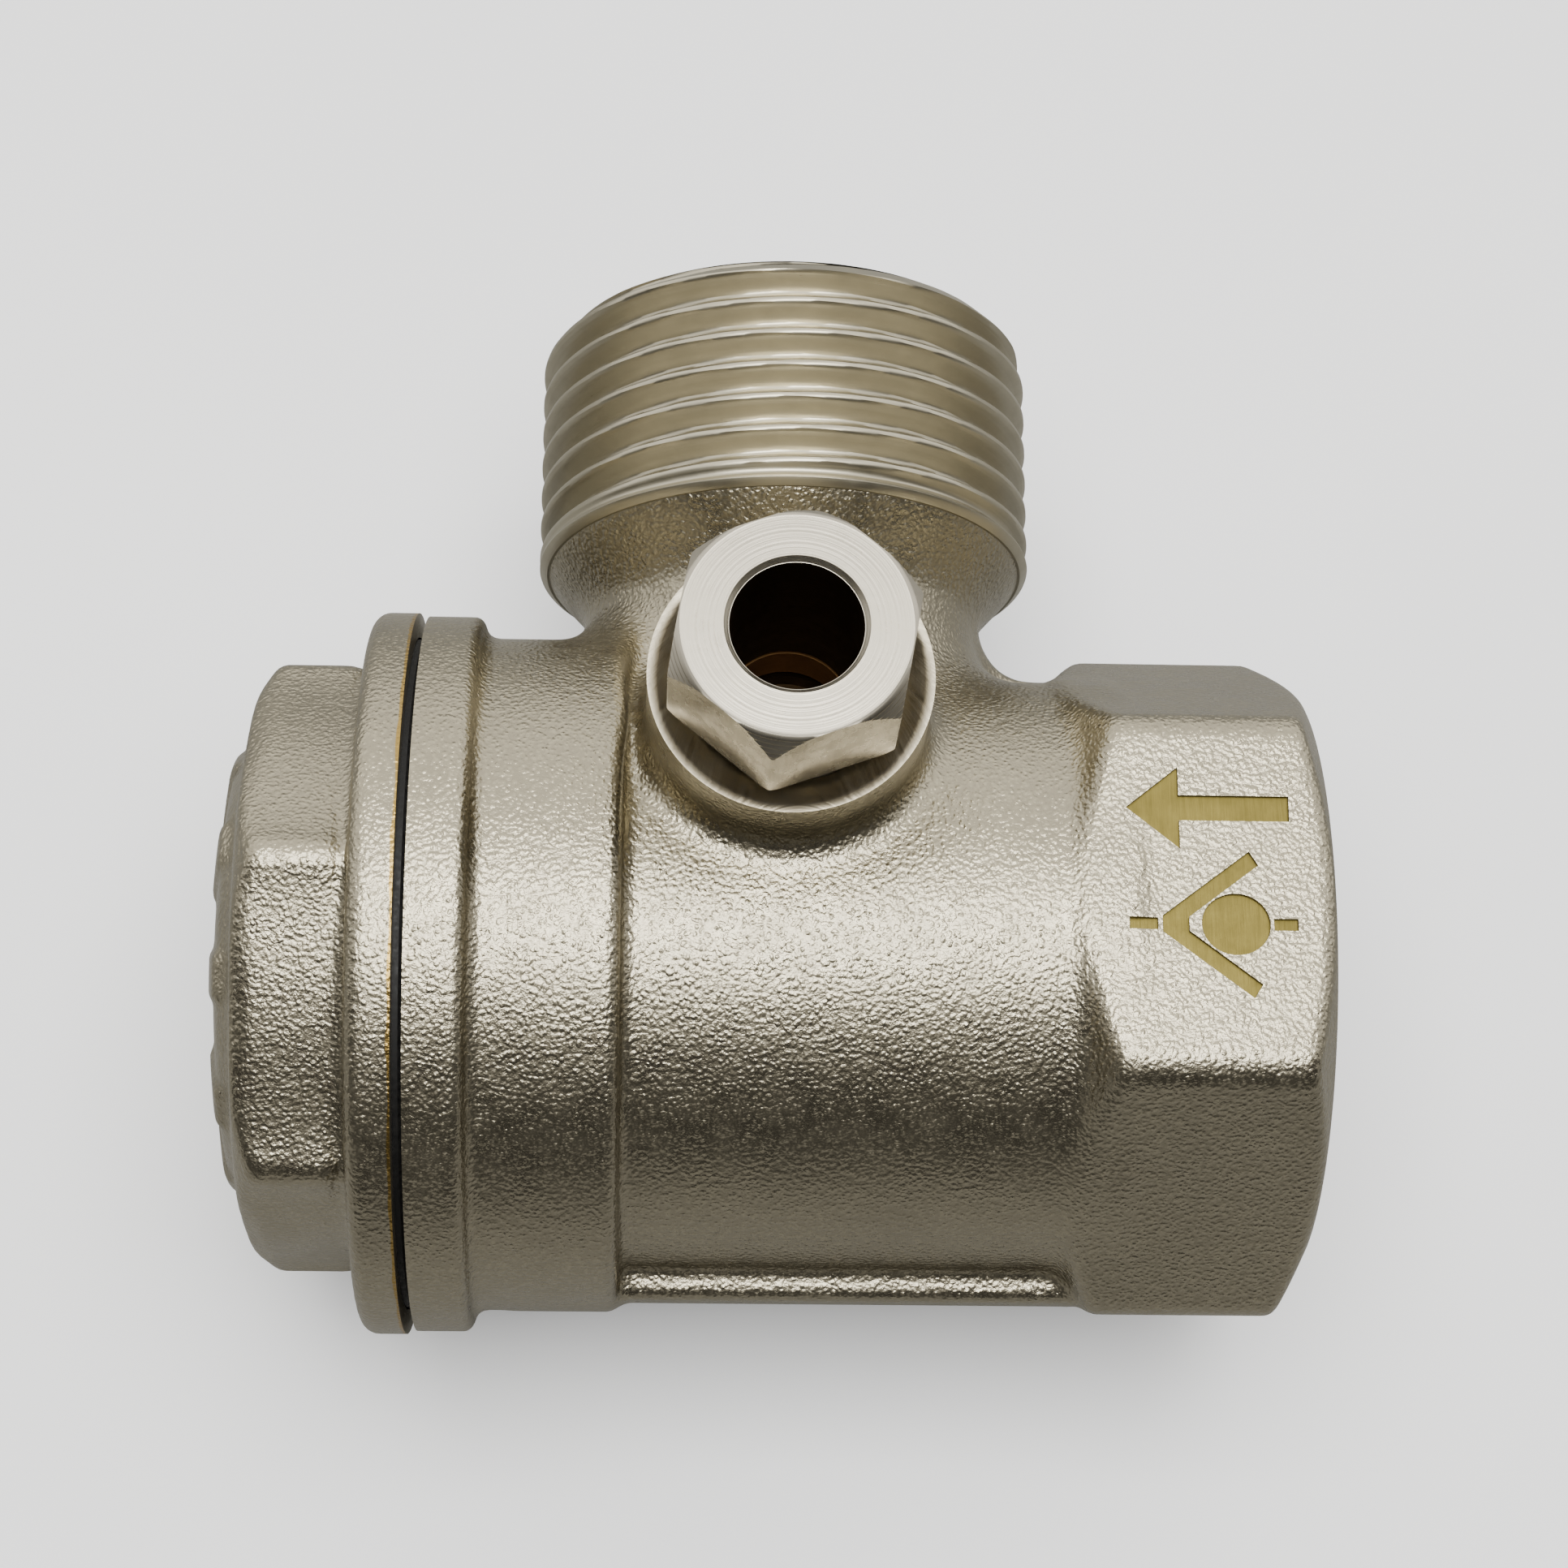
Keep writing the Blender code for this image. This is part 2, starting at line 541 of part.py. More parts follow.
def seal_screw(finish):
    """Slotted cheese-head screw that clamps the washer and the seal to the piston."""
    head_left = SEAL_RIGHT + REST + WASHER_THICKNESS + REST
    head_right = head_left + SCREW_HEAD_HEIGHT
    outline = [
        (CUP_FLOOR - SCREW_DEPTH, 0), (CUP_FLOOR - SCREW_DEPTH, SCREW_R), (head_left, SCREW_R),
        (head_left, SCREW_HEAD_R), (head_right - SCREW_HEAD_CHAMFER, SCREW_HEAD_R),
        (head_right, SCREW_HEAD_R - SCREW_HEAD_CHAMFER), (head_right, 0),
    ]
    screw = place(turned("seal_screw", outline, "X", SMALL_SIDES), (0, 0, 0), finish)
    half = SCREW_SLOT_WIDTH / 2
    reach = SCREW_HEAD_R + OVERLAP
    corners = [(half, -reach), (half, reach), (-half, reach), (-half, -reach)]
    slot = prism("screw_slot", corners, "X", head_right - SCREW_SLOT_DEPTH, head_right + OVERLAP)
    boolean(screw, place(slot, (0, 0, 0)), "DIFFERENCE")


def spring_place(turn, first, last):
    """Place along the axis of the wire's centre: one close turn at each end, open turns between."""
    close = 2 * SPRING_WIRE_R + SPRING_END_GAP
    open_rise = last - first - 2 * SPRING_END_TURNS * close
    open_turns = SPRING_TURNS - 2 * SPRING_END_TURNS
    if turn < SPRING_END_TURNS:
        return first + close * turn
    if turn > SPRING_TURNS - SPRING_END_TURNS:
        return last - close * (SPRING_TURNS - turn)
    return first + close * SPRING_END_TURNS + open_rise * (turn - SPRING_END_TURNS) / open_turns


def check_spring(finish):
    first = SKIRT_END + REST + SPRING_WIRE_R
    last = PISTON_BACK - REST - SPRING_WIRE_R
    along, out, side = AXES["X"]
    wire = bpy.data.curves.new("check_spring", "CURVE")
    wire.dimensions = "3D"
    wire.bevel_depth = SPRING_WIRE_R * MM
    wire.bevel_resolution = 1
    wire.use_fill_caps = True
    path = wire.splines.new("POLY")
    count = SPRING_TURNS * SPRING_STEPS + 1
    path.points.add(count - 1)
    for step, point in enumerate(path.points):
        angle = math.tau * step / SPRING_STEPS
        radial = out * math.cos(angle) + side * math.sin(angle)
        centre = along * spring_place(step / SPRING_STEPS, first, last) + radial * SPRING_MEAN_R
        point.co = (*(centre * MM), 1.0)
    item = bpy.data.objects.new("check_spring", wire)
    bpy.context.scene.collection.objects.link(item)
    place(item, (0, 0, 0), finish)


def gland_nut(finish):
    """Hexagon head with a coned top, joined to a threaded shank and bored for the tube."""
    corners = hexagon(NUT_ACROSS_FLATS, NUT_CORNER_ANGLE)
    corner_r = NUT_ACROSS_FLATS / math.sqrt(3)
    nut = place(prism("gland_nut", corners, "Z", NUT_HEAD_Z, NUT_TOP_Z), (PORT_X, PORT_Y, 0), finish)
    outline = [
        (NUT_HEAD_Z - OVERLAP, 0), (NUT_HEAD_Z - OVERLAP, corner_r + OVERLAP),
        (NUT_TOP_Z - NUT_CONE_HEIGHT, corner_r), (NUT_TOP_Z, NUT_FACE_R),
        (NUT_TOP_Z + OVERLAP, NUT_FACE_R - OVERLAP), (NUT_TOP_Z + OVERLAP, 0),
    ]
    envelope = place(turned("nut_envelope", outline, "Z", SMALL_SIDES), (PORT_X, PORT_Y, 0))
    boolean(nut, envelope, "INTERSECT")
    outline = [
        (NUT_END_Z, 0), (NUT_END_Z, NUT_SHANK_R - NUT_SHANK_CHAMFER),
        (NUT_END_Z + NUT_SHANK_CHAMFER, NUT_SHANK_R),
        (NUT_HEAD_Z + OVERLAP, NUT_SHANK_R), (NUT_HEAD_Z + OVERLAP, 0),
    ]
    shank = place(turned("nut_shank", outline, "Z", SMALL_SIDES), (PORT_X, PORT_Y, 0))
    boolean(nut, shank, "UNION")
    outline = [
        (NUT_END_Z - OVERLAP, 0), (NUT_END_Z - OVERLAP, NUT_CONE_R), (NUT_END_Z, NUT_CONE_R),
        (NUT_END_Z + NUT_CONE_R - TUBE_BORE_R, TUBE_BORE_R), (NUT_TOP_Z - NUT_LEAD_IN, TUBE_BORE_R),
        (NUT_TOP_Z, TUBE_BORE_R + NUT_LEAD_IN), (NUT_TOP_Z + OVERLAP, TUBE_BORE_R + NUT_LEAD_IN),
        (NUT_TOP_Z + OVERLAP, 0),
    ]
    bore = place(turned("nut_bore", outline, "Z", SMALL_SIDES), (PORT_X, PORT_Y, 0))
    boolean(nut, bore, "DIFFERENCE")


def olive(finish):
    """Double-coned ring that the nut presses onto the tube."""
    widest = (OLIVE_Z + OLIVE_TOP_Z) / 2
    outline = [
        (OLIVE_Z, TUBE_BORE_R), (OLIVE_Z, OLIVE_END_R), (widest, OLIVE_R),
        (OLIVE_TOP_Z, OLIVE_END_R), (OLIVE_TOP_Z, TUBE_BORE_R),
    ]
    place(turned("olive", outline, "Z", SMALL_SIDES), (PORT_X, PORT_Y, 0), finish)


def build():
    clear_scene()
    origin = bpy.data.objects.new("model_origin", None)
    origin.location = MODEL_SHIFT * MM
    bpy.context.scene.collection.objects.link(origin)
    nickel = material("forged_nickel", (0.62, 0.59, 0.52), 0.38, 1.0)
    bright = material("turned_nickel", (0.72, 0.70, 0.66), 0.22, 1.0)
    rubber = material("black_rubber", (0.02, 0.02, 0.02), 0.75, 0.0)
    brass = material("brass", (0.72, 0.55, 0.26), 0.3, 1.0)
    steel = material("spring_steel", (0.60, 0.60, 0.60), 0.3, 1.0)
    valve_body(nickel)
    end_plug(nickel)
    plug_gasket(rubber)
    check_piston(brass)
    flat_ring("piston_seal", SEAL_LEFT, SEAL_RIGHT, SCREW_HOLE_R, SEAL_R, rubber)
    washer_left = SEAL_RIGHT + REST
    flat_ring("seal_washer", washer_left, washer_left + WASHER_THICKNESS, SCREW_HOLE_R, WASHER_R, steel)
    seal_screw(steel)
    check_spring(steel)
    gland_nut(bright)
    olive(brass)


build()
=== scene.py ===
"""Looks of the three-way check valve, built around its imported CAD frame."""
import json
import math

import bmesh
import bpy
import numpy as np
from mathutils import Matrix, Vector


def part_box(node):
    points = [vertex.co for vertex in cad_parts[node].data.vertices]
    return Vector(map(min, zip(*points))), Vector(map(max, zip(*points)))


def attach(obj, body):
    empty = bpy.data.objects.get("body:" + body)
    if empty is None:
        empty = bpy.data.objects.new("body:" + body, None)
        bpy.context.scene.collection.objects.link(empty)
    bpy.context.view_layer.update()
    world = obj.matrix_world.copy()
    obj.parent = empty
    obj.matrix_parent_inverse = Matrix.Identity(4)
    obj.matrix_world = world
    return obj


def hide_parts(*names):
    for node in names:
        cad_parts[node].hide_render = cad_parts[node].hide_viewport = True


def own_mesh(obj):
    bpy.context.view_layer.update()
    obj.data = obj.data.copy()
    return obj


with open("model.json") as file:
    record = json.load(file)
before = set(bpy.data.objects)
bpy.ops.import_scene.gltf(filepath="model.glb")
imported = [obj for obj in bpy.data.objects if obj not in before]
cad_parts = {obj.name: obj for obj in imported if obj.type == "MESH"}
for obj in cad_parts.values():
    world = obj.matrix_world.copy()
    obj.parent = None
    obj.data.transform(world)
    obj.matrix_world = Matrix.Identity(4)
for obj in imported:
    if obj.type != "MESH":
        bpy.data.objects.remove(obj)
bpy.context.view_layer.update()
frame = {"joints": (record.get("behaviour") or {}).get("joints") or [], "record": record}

MM = 0.001
MOUNTS = {mount["name"]: mount for mount in frame["record"]["mounts"]}
JOINTS = {joint["name"]: joint for joint in frame["joints"]}


def middle(node, axis):
    low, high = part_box(node)
    return (low[axis] + high[axis]) / 2


# The stub's axis meets the main axis here; shapes are made in millimetres around this point
CENTRE = Vector((MOUNTS["stub_end_face"]["pos_m"][0], middle("plug_gasket", 1), middle("plug_gasket", 2)))
PORT = Vector((JOINTS["nut_turn"]["pos_m"][0], JOINTS["nut_turn"]["pos_m"][1], CENTRE.z))
PORT_X, PORT_Y = [value / MM for value in (PORT - CENTRE)[:2]]


def low_mm(node, axis):
    return (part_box(node)[0][axis] - CENTRE[axis]) / MM


def high_mm(node, axis):
    return (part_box(node)[1][axis] - CENTRE[axis]) / MM


# Places that the frame sets
BODY_LEFT = low_mm("valve_body", 0)
BODY_RIGHT = high_mm("valve_body", 0)
STUB_END = high_mm("valve_body", 1)
RIM_Z = high_mm("valve_body", 2)
PLUG_LEFT = low_mm("end_plug", 0)
FLANGE_R = high_mm("end_plug", 2)
GASKET_R = high_mm("plug_gasket", 2)
NUT_TOP = high_mm("gland_nut", 2)
NUT_END = low_mm("gland_nut", 2)

# Body
COLLAR_R = 18.5
BARREL_R = 17.4
BARREL_RIGHT = -8.4
MIDDLE_R = 15.5
LOWER_R = 16.98
HEX_LEFT = 13.9
HEX_APOTHEM = 15.55
HEX_CORNER_ROUND = 2.0
NECK_R = 10.3
STUB_R = 13.22
STUB_SHOULDER_Y = 22.6
RIM_R = 6.92
PLUG_BORE_R = 14.0
CHAMBER_R = 9.5
SEAT_X = 5.0
ORIFICE_R = 5.0
INLET_R = 8.2
FEMALE_MINOR_R = 9.32
FEMALE_DEPTH = 14.3
STUB_BORE_R = 8.0
STUB_PASSAGE_R = 6.0
TUBE_BORE_R = 3.15
CHAMBER_LEFT = -9.2
SEAT_LIP = 0.7
SEAT_RIGHT = 7.5
INLET_RIGHT = 12.0
THREAD_BED = 1.3
FEMALE_MOUTH_R = 11.1
PORT_R = 5.0
SINK_DEPTH = 1.1
SINK_WIDTH = 1.6
SINK_RIDGES = 8
GALLERY_R = 1.0
GALLERY_LENGTH = 11.5

# Threads: pitch and depth
G34_PITCH, G34_DEPTH = 1.814, 1.162
M10_PITCH, M10_DEPTH = 1.0, 0.55
PLUG_PITCH, PLUG_DEPTH = 1.5, 0.8

# End plug
FLANGE_RIGHT = BODY_LEFT - 0.53
FLANGE_LEFT = FLANGE_RIGHT - 2.27
PLUG_HEX_RIGHT = FLANGE_LEFT - 0.45
PLUG_HEX_LEFT = PLUG_LEFT + 2.15
PLUG_HEX_APOTHEM = 14.0
PLUG_HEX_FLAT = math.radians(25)

# Gland nut
NUT_APOTHEM = 5.5
NUT_CORNER = math.radians(20)
NUT_HEAD_Z = RIM_Z + 0.9
NUT_FACE_R = 5.49
NUT_CONE_HEIGHT = 1.5
NUT_CONE_LINES = 12
NUT_FACE_LINES = 16

# Plug skirt and guide
SKIRT_END = -10.0
SKIRT_R = PLUG_BORE_R - 0.1
SKIRT_WALL = 0.6
GUIDE_R = 4.9
GUIDE_BORE_R = 3.6

# Cutters reach this far past the part, and this far out from their axis
PAST = 4.0
FAR = 26.0

# Cell size of the distance-field skins
GRID = 0.3


# ---- Shaders ----

def node_material(name):
    made = bpy.data.materials.new(name)
    made.use_nodes = True
    tree = made.node_tree
    shader = tree.nodes["Principled BSDF"]
    return made, tree, shader


def add(tree, kind, **values):
    """A shader node with its sockets and properties set by name."""
    node = tree.nodes.new(kind)
    for key, value in values.items():
        if key in node.inputs:
            node.inputs[key].default_value = value
        else:
            setattr(node, key, value)
    return node


def math_node(tree, operation, first, second):
    node = tree.nodes.new("ShaderNodeMath")
    node.operation = operation
    for socket, value in zip(node.inputs, (first, second)):
        if isinstance(value, (int, float)):
            socket.default_value = value
        else:
            tree.links.new(value, socket)
    return node.outputs[0]


def tinted(tree, amount, colour):
    """A colour scaled by an amount, which may go above one."""
    node = tree.nodes.new("ShaderNodeVectorMath")
    node.operation = "SCALE"
    node.inputs[0].default_value = colour
    tree.links.new(amount, node.inputs["Scale"])
    return node.outputs[0]


def blend_colours(tree, factor, first, second):
    node = tree.nodes.new("ShaderNodeMix")
    node.data_type = "RGBA"
    for socket, value in ((node.inputs[0], factor), (node.inputs[6], first), (node.inputs[7], second)):
        if isinstance(value, (int, float, tuple)):
            socket.default_value = value if isinstance(value, (int, float)) else (*value, 1.0)
        else:
            tree.links.new(value, socket)
    return node.outputs[2]


def spread(tree, value, low, high, to_low=0.0, to_high=1.0):
    node = tree.nodes.new("ShaderNodeMapRange")
    tree.links.new(value, node.inputs[0])
    for socket, number in zip(node.inputs[1:5], (low, high, to_low, to_high)):
        socket.default_value = number
    return node.outputs[0]


def noise(tree, place, size_mm, detail=2.0, roughness=0.5):
    node = add(tree, "ShaderNodeTexNoise", Scale=1 / (size_mm * MM), Detail=detail, Roughness=roughness)
    tree.links.new(place, node.inputs["Vector"])
    return node.outputs[0]


def bump(tree, heights, shader):
    """A chain of bumps, each a (height socket, depth in mm) pair."""
    before = None
    for height, depth in heights:
        node = add(tree, "ShaderNodeBump", Strength=1.0, Distance=depth * MM)
        tree.links.new(height, node.inputs["Height"])
        if before:
            tree.links.new(before, node.inputs["Normal"])
        before = node.outputs[0]
    tree.links.new(before, shader.inputs["Normal"])


def object_place(tree):
    return tree.nodes.new("ShaderNodeTexCoord").outputs["Object"]


NICKEL = (0.38, 0.342, 0.25)
NICKEL_DARK = (0.25, 0.225, 0.17)
BRIGHT = (0.42, 0.386, 0.315)
# Colour of the nut's sides, darker than BRIGHT on its face: painted shade on the hexagon's sides.
NUT_SIDE_WITH_PAINTED_SHADE = (0.33, 0.30, 0.24)
BRASS = (0.34, 0.23, 0.07)


def forged_nickel(name="forged_nickel", brass_edge=None):
    """Nickel plate over a blasted forging: pebbled grain with painted shade in the crevices between pebbles,
    faint stains and, if asked, a bare brass edge.
    """
    made, tree, shader = node_material(name)
    place = object_place(tree)
    pebbles = add(tree, "ShaderNodeTexVoronoi", Scale=1 / (0.25 * MM), Randomness=1.0)
    pebbles.feature = "SMOOTH_F1"
    pebbles.inputs["Smoothness"].default_value = 0.6
    bend = noise(tree, place, 0.9, 2.0)
    tree.links.new(shifted(tree, place, bend, 0.30), pebbles.inputs["Vector"])
    pebble = spread(tree, pebbles.outputs["Distance"], 0.05, 0.65, 1.0, 0.0)
    grain = noise(tree, place, 0.18, 2.0, 0.6)
    peel = noise(tree, place, 1.5, 1.0)
    stain = noise(tree, place, 7.0, 3.0)
    colour = blend_colours(tree, spread(tree, stain, 0.40, 0.70, 0.0, 0.25), NICKEL, NICKEL_DARK)
    # Darker towards NICKEL_DARK in the low crevices between pebbles: painted shade.
    colour = blend_colours(tree, spread(tree, pebble, 0.15, 0.60, 0.45, 0.0), colour, NICKEL_DARK)
    if brass_edge:
        x = add(tree, "ShaderNodeSeparateXYZ")
        tree.links.new(place, x.inputs[0])
        chips = spread(tree, noise(tree, place, 2.5, 3.0), 0.3, 0.7)
        ragged = math_node(tree, "MULTIPLY", chips, 0.16 * MM)
        line = math_node(tree, "SUBTRACT", x.outputs[0], ragged)
        bare = spread(tree, line, (brass_edge - 0.24) * MM, (brass_edge - 0.19) * MM)
        colour = blend_colours(tree, bare, colour, BRASS)
    tree.links.new(colour, shader.inputs["Base Color"])
    tree.links.new(spread(tree, peel, 0.3, 0.7, 0.25, 0.33), shader.inputs["Roughness"])
    shader.inputs["Metallic"].default_value = 1.0
    bump(tree, [(peel, 0.012), (pebble, 0.036), (grain, 0.042)], shader)
    return made


def shifted(tree, place, amount, reach_mm):
    """The place moved by a noise value, which breaks up a regular pattern."""
    node = tree.nodes.new("ShaderNodeVectorMath")
    node.operation = "ADD"
    tree.links.new(place, node.inputs[0])
    tree.links.new(math_node(tree, "MULTIPLY", amount, reach_mm * MM), node.inputs[1])
    return node.outputs[0]


def machined(name, colour, roughness, axis, line_mm=0.12, depth=0.004, streak=0.5):
    """Turned metal: fine tool lines that run round the axis, with a little wear between them."""
    made, tree, shader = node_material(name)
    place = object_place(tree)
    parts = add(tree, "ShaderNodeSeparateXYZ")
    tree.links.new(place, parts.inputs[0])
    across = [parts.outputs[i] for i in range(3) if i != "XYZ".index(axis)]
    squares = [math_node(tree, "POWER", value, 2.0) for value in across]
    radius = math_node(tree, "SQRT", math_node(tree, "ADD", *squares), 0.0)
    travel = math_node(tree, "ADD", radius, parts.outputs["XYZ".index(axis)])
    lines = noise_along(tree, travel, line_mm)
    wear = noise(tree, place, 1.6, 4.0, 0.6)
    shade = blend_colours(tree, spread(tree, wear, 0.4, 0.75, 0.0, 0.3), colour,
                          tuple(value * 0.72 for value in colour))
    tree.links.new(shade, shader.inputs["Base Color"])
    rough = math_node(tree, "ADD", spread(tree, wear, 0.3, 0.7, -0.04, 0.06),
                      spread(tree, lines, 0.3, 0.7, roughness - 0.05 * streak, roughness + 0.08 * streak))
    tree.links.new(rough, shader.inputs["Roughness"])
    shader.inputs["Metallic"].default_value = 1.0
    bump(tree, [(lines, depth), (wear, depth)], shader)
    return made


def noise_along(tree, travel, line_mm):
    node = add(tree, "ShaderNodeTexNoise", noise_dimensions="1D", Scale=1.0, Detail=3.0)
    tree.links.new(math_node(tree, "MULTIPLY", travel, 1 / (line_mm * MM)), node.inputs["W"])
    return node.outputs[0]


def milled(name, colour, roughness, axis):
    """Drawn or milled metal: straight scratches along one axis."""
    made, tree, shader = node_material(name)
    place = object_place(tree)
    stretch = add(tree, "ShaderNodeMapping")
    stretch.inputs["Scale"].default_value = [0.06 if letter == axis else 1.0 for letter in "XYZ"]
    tree.links.new(place, stretch.inputs["Vector"])
    lines = noise(tree, stretch.outputs[0], 0.16, 4.0, 0.65)
    wear = noise(tree, place, 1.2, 4.0, 0.6)
    shade = blend_colours(tree, spread(tree, lines, 0.35, 0.7, 0.0, 0.4), colour,
                          tuple(value * 0.62 for value in colour))
    tree.links.new(shade, shader.inputs["Base Color"])
    tree.links.new(spread(tree, wear, 0.3, 0.7, roughness - 0.05, roughness + 0.1),
                   shader.inputs["Roughness"])
    shader.inputs["Metallic"].default_value = 1.0
    bump(tree, [(lines, 0.016), (wear, 0.006)], shader)
    return made


def rubber(name="black_rubber"):
    made, tree, shader = node_material(name)
    place = object_place(tree)
    speck = noise(tree, place, 0.25, 3.0)
    tree.links.new(blend_colours(tree, spread(tree, speck, 0.4, 0.7), (0.004, 0.004, 0.0045),
                                 (0.012, 0.0115, 0.011)), shader.inputs["Base Color"])
    tree.links.new(spread(tree, speck, 0.3, 0.7, 0.5, 0.75), shader.inputs["Roughness"])
    bump(tree, [(speck, 0.01)], shader)
    return made


# ---- Mesh helpers ----

def finish_piece(name, mesh, body, node, slot, materials, origin=CENTRE, sharp=35.0):
    """Makes the object, with its origin on its own axis, parents it to its body's empty and hides the CAD
    part it replaces.
    """
    piece = bpy.data.objects.new(name, mesh)
    bpy.context.scene.collection.objects.link(piece)
    piece.location = origin
    for item in materials:
        if item.name not in mesh.materials:
            mesh.materials.append(item)
    mesh.shade_smooth()
    mesh.set_sharp_from_angle(angle=math.radians(sharp))
    bpy.context.view_layer.update()
    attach(piece, body)
    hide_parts(node)
    return piece


def mesh_from(name, verts, faces):
    mesh = bpy.data.meshes.new(name)
    mesh.from_pydata((np.asarray(verts, dtype=float) * MM).tolist(), [], [list(map(int, f)) for f in faces])
    mesh.update()
    return mesh


AXES = {
    "X": ((1, 0, 0), (0, 0, 1), (0, -1, 0)),
    "Y": ((0, 1, 0), (0, 0, 1), (1, 0, 0)),
    "Z": ((0, 0, 1), (1, 0, 0), (0, 1, 0)),
}


def turned_mesh(name, outline, axis, sides=160, wave=None):
    """A (along, radius) outline spun round the axis; it may start and end on it, or close as a ring.

    wave(along, angle) may replace each point's radius, which makes threads.
    """
    along, out, side = [np.array(v, dtype=float) for v in AXES[axis]]
    angles = np.linspace(0, 2 * math.pi, sides, endpoint=False)
    solid = outline[0][1] == 0
    rows = outline[1:-1] if solid else outline
    radial = np.outer(np.cos(angles), out) + np.outer(np.sin(angles), side)
    verts = []
    for a, r in rows:
        reach = wave(a, r, angles) if wave else np.full(sides, r)
        verts.extend(along * a + radial * reach[:, None])
    faces = []
    count = len(rows)
    for i in range(count if not solid else count - 1):
        j = (i + 1) % count
        for s in range(sides):
            t = (s + 1) % sides
            faces.append((i * sides + s, i * sides + t, j * sides + t, j * sides + s))
    if solid:
        first, last = len(verts), len(verts) + 1
        verts.extend([along * outline[0][0], along * outline[-1][0]])
        for s in range(sides):
            t = (s + 1) % sides
            faces.append((first, t, s))
            faces.append((last, (count - 1) * sides + s, (count - 1) * sides + t))
    mesh = mesh_from(name, verts, faces)
    bm = bmesh.new()
    bm.from_mesh(mesh)
    bmesh.ops.recalc_face_normals(bm, faces=bm.faces)
    bm.to_mesh(mesh)
    bm.free()
    return mesh


def prism_mesh(name, outline, axis, start, end):
    """A flat outline of (toward out, toward side) points, extruded along the axis."""
    along, out, side = [np.array(v, dtype=float) for v in AXES[axis]]
    ring = [out * u + side * v for u, v in outline]
    verts = [along * start + p for p in ring] + [along * end + p for p in ring]
    count = len(ring)
    faces = [tuple(range(count)), tuple(range(2 * count - 1, count - 1, -1))]
    faces += [(i, (i + 1) % count, count + (i + 1) % count, count + i) for i in range(count)]
    mesh = mesh_from(name, verts, faces)
    bm = bmesh.new()
    bm.from_mesh(mesh)
    bmesh.ops.recalc_face_normals(bm, faces=bm.faces)
    bm.to_mesh(mesh)
    bm.free()
    return mesh


def hexagon(apothem, flat_angle):
    corner = apothem / math.cos(math.radians(30))
    angles = [flat_angle + math.radians(30 + 60 * k) for k in range(6)]
    return [(corner * math.cos(a), corner * math.sin(a)) for a in angles]


def combine(mesh, tool, operation, tool_material=None, material=None, offset=(0, 0, 0)):
    """One Boolean step on bare meshes; the tool's faces keep the tool's material."""
    base = bpy.data.objects.new("base", mesh)
    other = bpy.data.objects.new("tool", tool)
    other.location = Vector(offset) * MM
    for item, finish in ((base, material), (other, tool_material)):
        bpy.context.scene.collection.objects.link(item)
        if finish and finish.name not in item.data.materials:
            item.data.materials.append(finish)
    step = base.modifiers.new("step", "BOOLEAN")
    step.operation = operation
    step.solver = "MANIFOLD"
    step.object = other
    step.material_mode = "TRANSFER"
    graph = bpy.context.evaluated_depsgraph_get()
    made = bpy.data.meshes.new_from_object(base.evaluated_get(graph), depsgraph=graph)
    bpy.data.objects.remove(base)
    bpy.data.objects.remove(other)
    made.name = mesh.name
    return made


# ---- Distance fields, millimetres ----

def join(a, b, k):
    """Smooth union: the corner between the two gets a fillet that grows with k."""
    h = np.clip(0.5 + 0.5 * (b - a) / k, 0, 1)
    return b + (a - b) * h - k * h * (1 - h)


def meet(a, b, k):
    return -join(-a, -b, k)


def rod(along, radius, start, end, r, rounding):
    """Capped cylinder with rounded rims."""
    da = np.abs(along - (start + end) / 2) - (end - start) / 2 + rounding
    dr = radius - r + rounding
    return np.minimum(np.maximum(da, dr), 0) + np.hypot(np.maximum(da, 0), np.maximum(dr, 0)) - rounding


def cone_side(along, radius, start, start_r, end, end_r):
    """Signed distance to the outside of a cone through two rings."""
    length = math.hypot(end - start, end_r - start_r)
    return ((radius - start_r) * (end - start) - (along - start) * (end_r - start_r)) / length


def hex_distance(u, v, apothem, rounding):
    """Distance in the plane to a hexagon with one flat across v, its corners rounded."""
    r = apothem - rounding
    cos30, sin30, tan30 = math.cos(math.pi / 6), 0.5, math.tan(math.pi / 6)
    u, v = np.abs(u), np.abs(v)
    fold = 2 * np.minimum(-cos30 * u + sin30 * v, 0)
    u, v = u + fold * cos30, v - fold * sin30
    u = u - np.clip(u, -tan30 * r, tan30 * r)
    v = v - r
    return np.hypot(u, v) * np.sign(v) - rounding


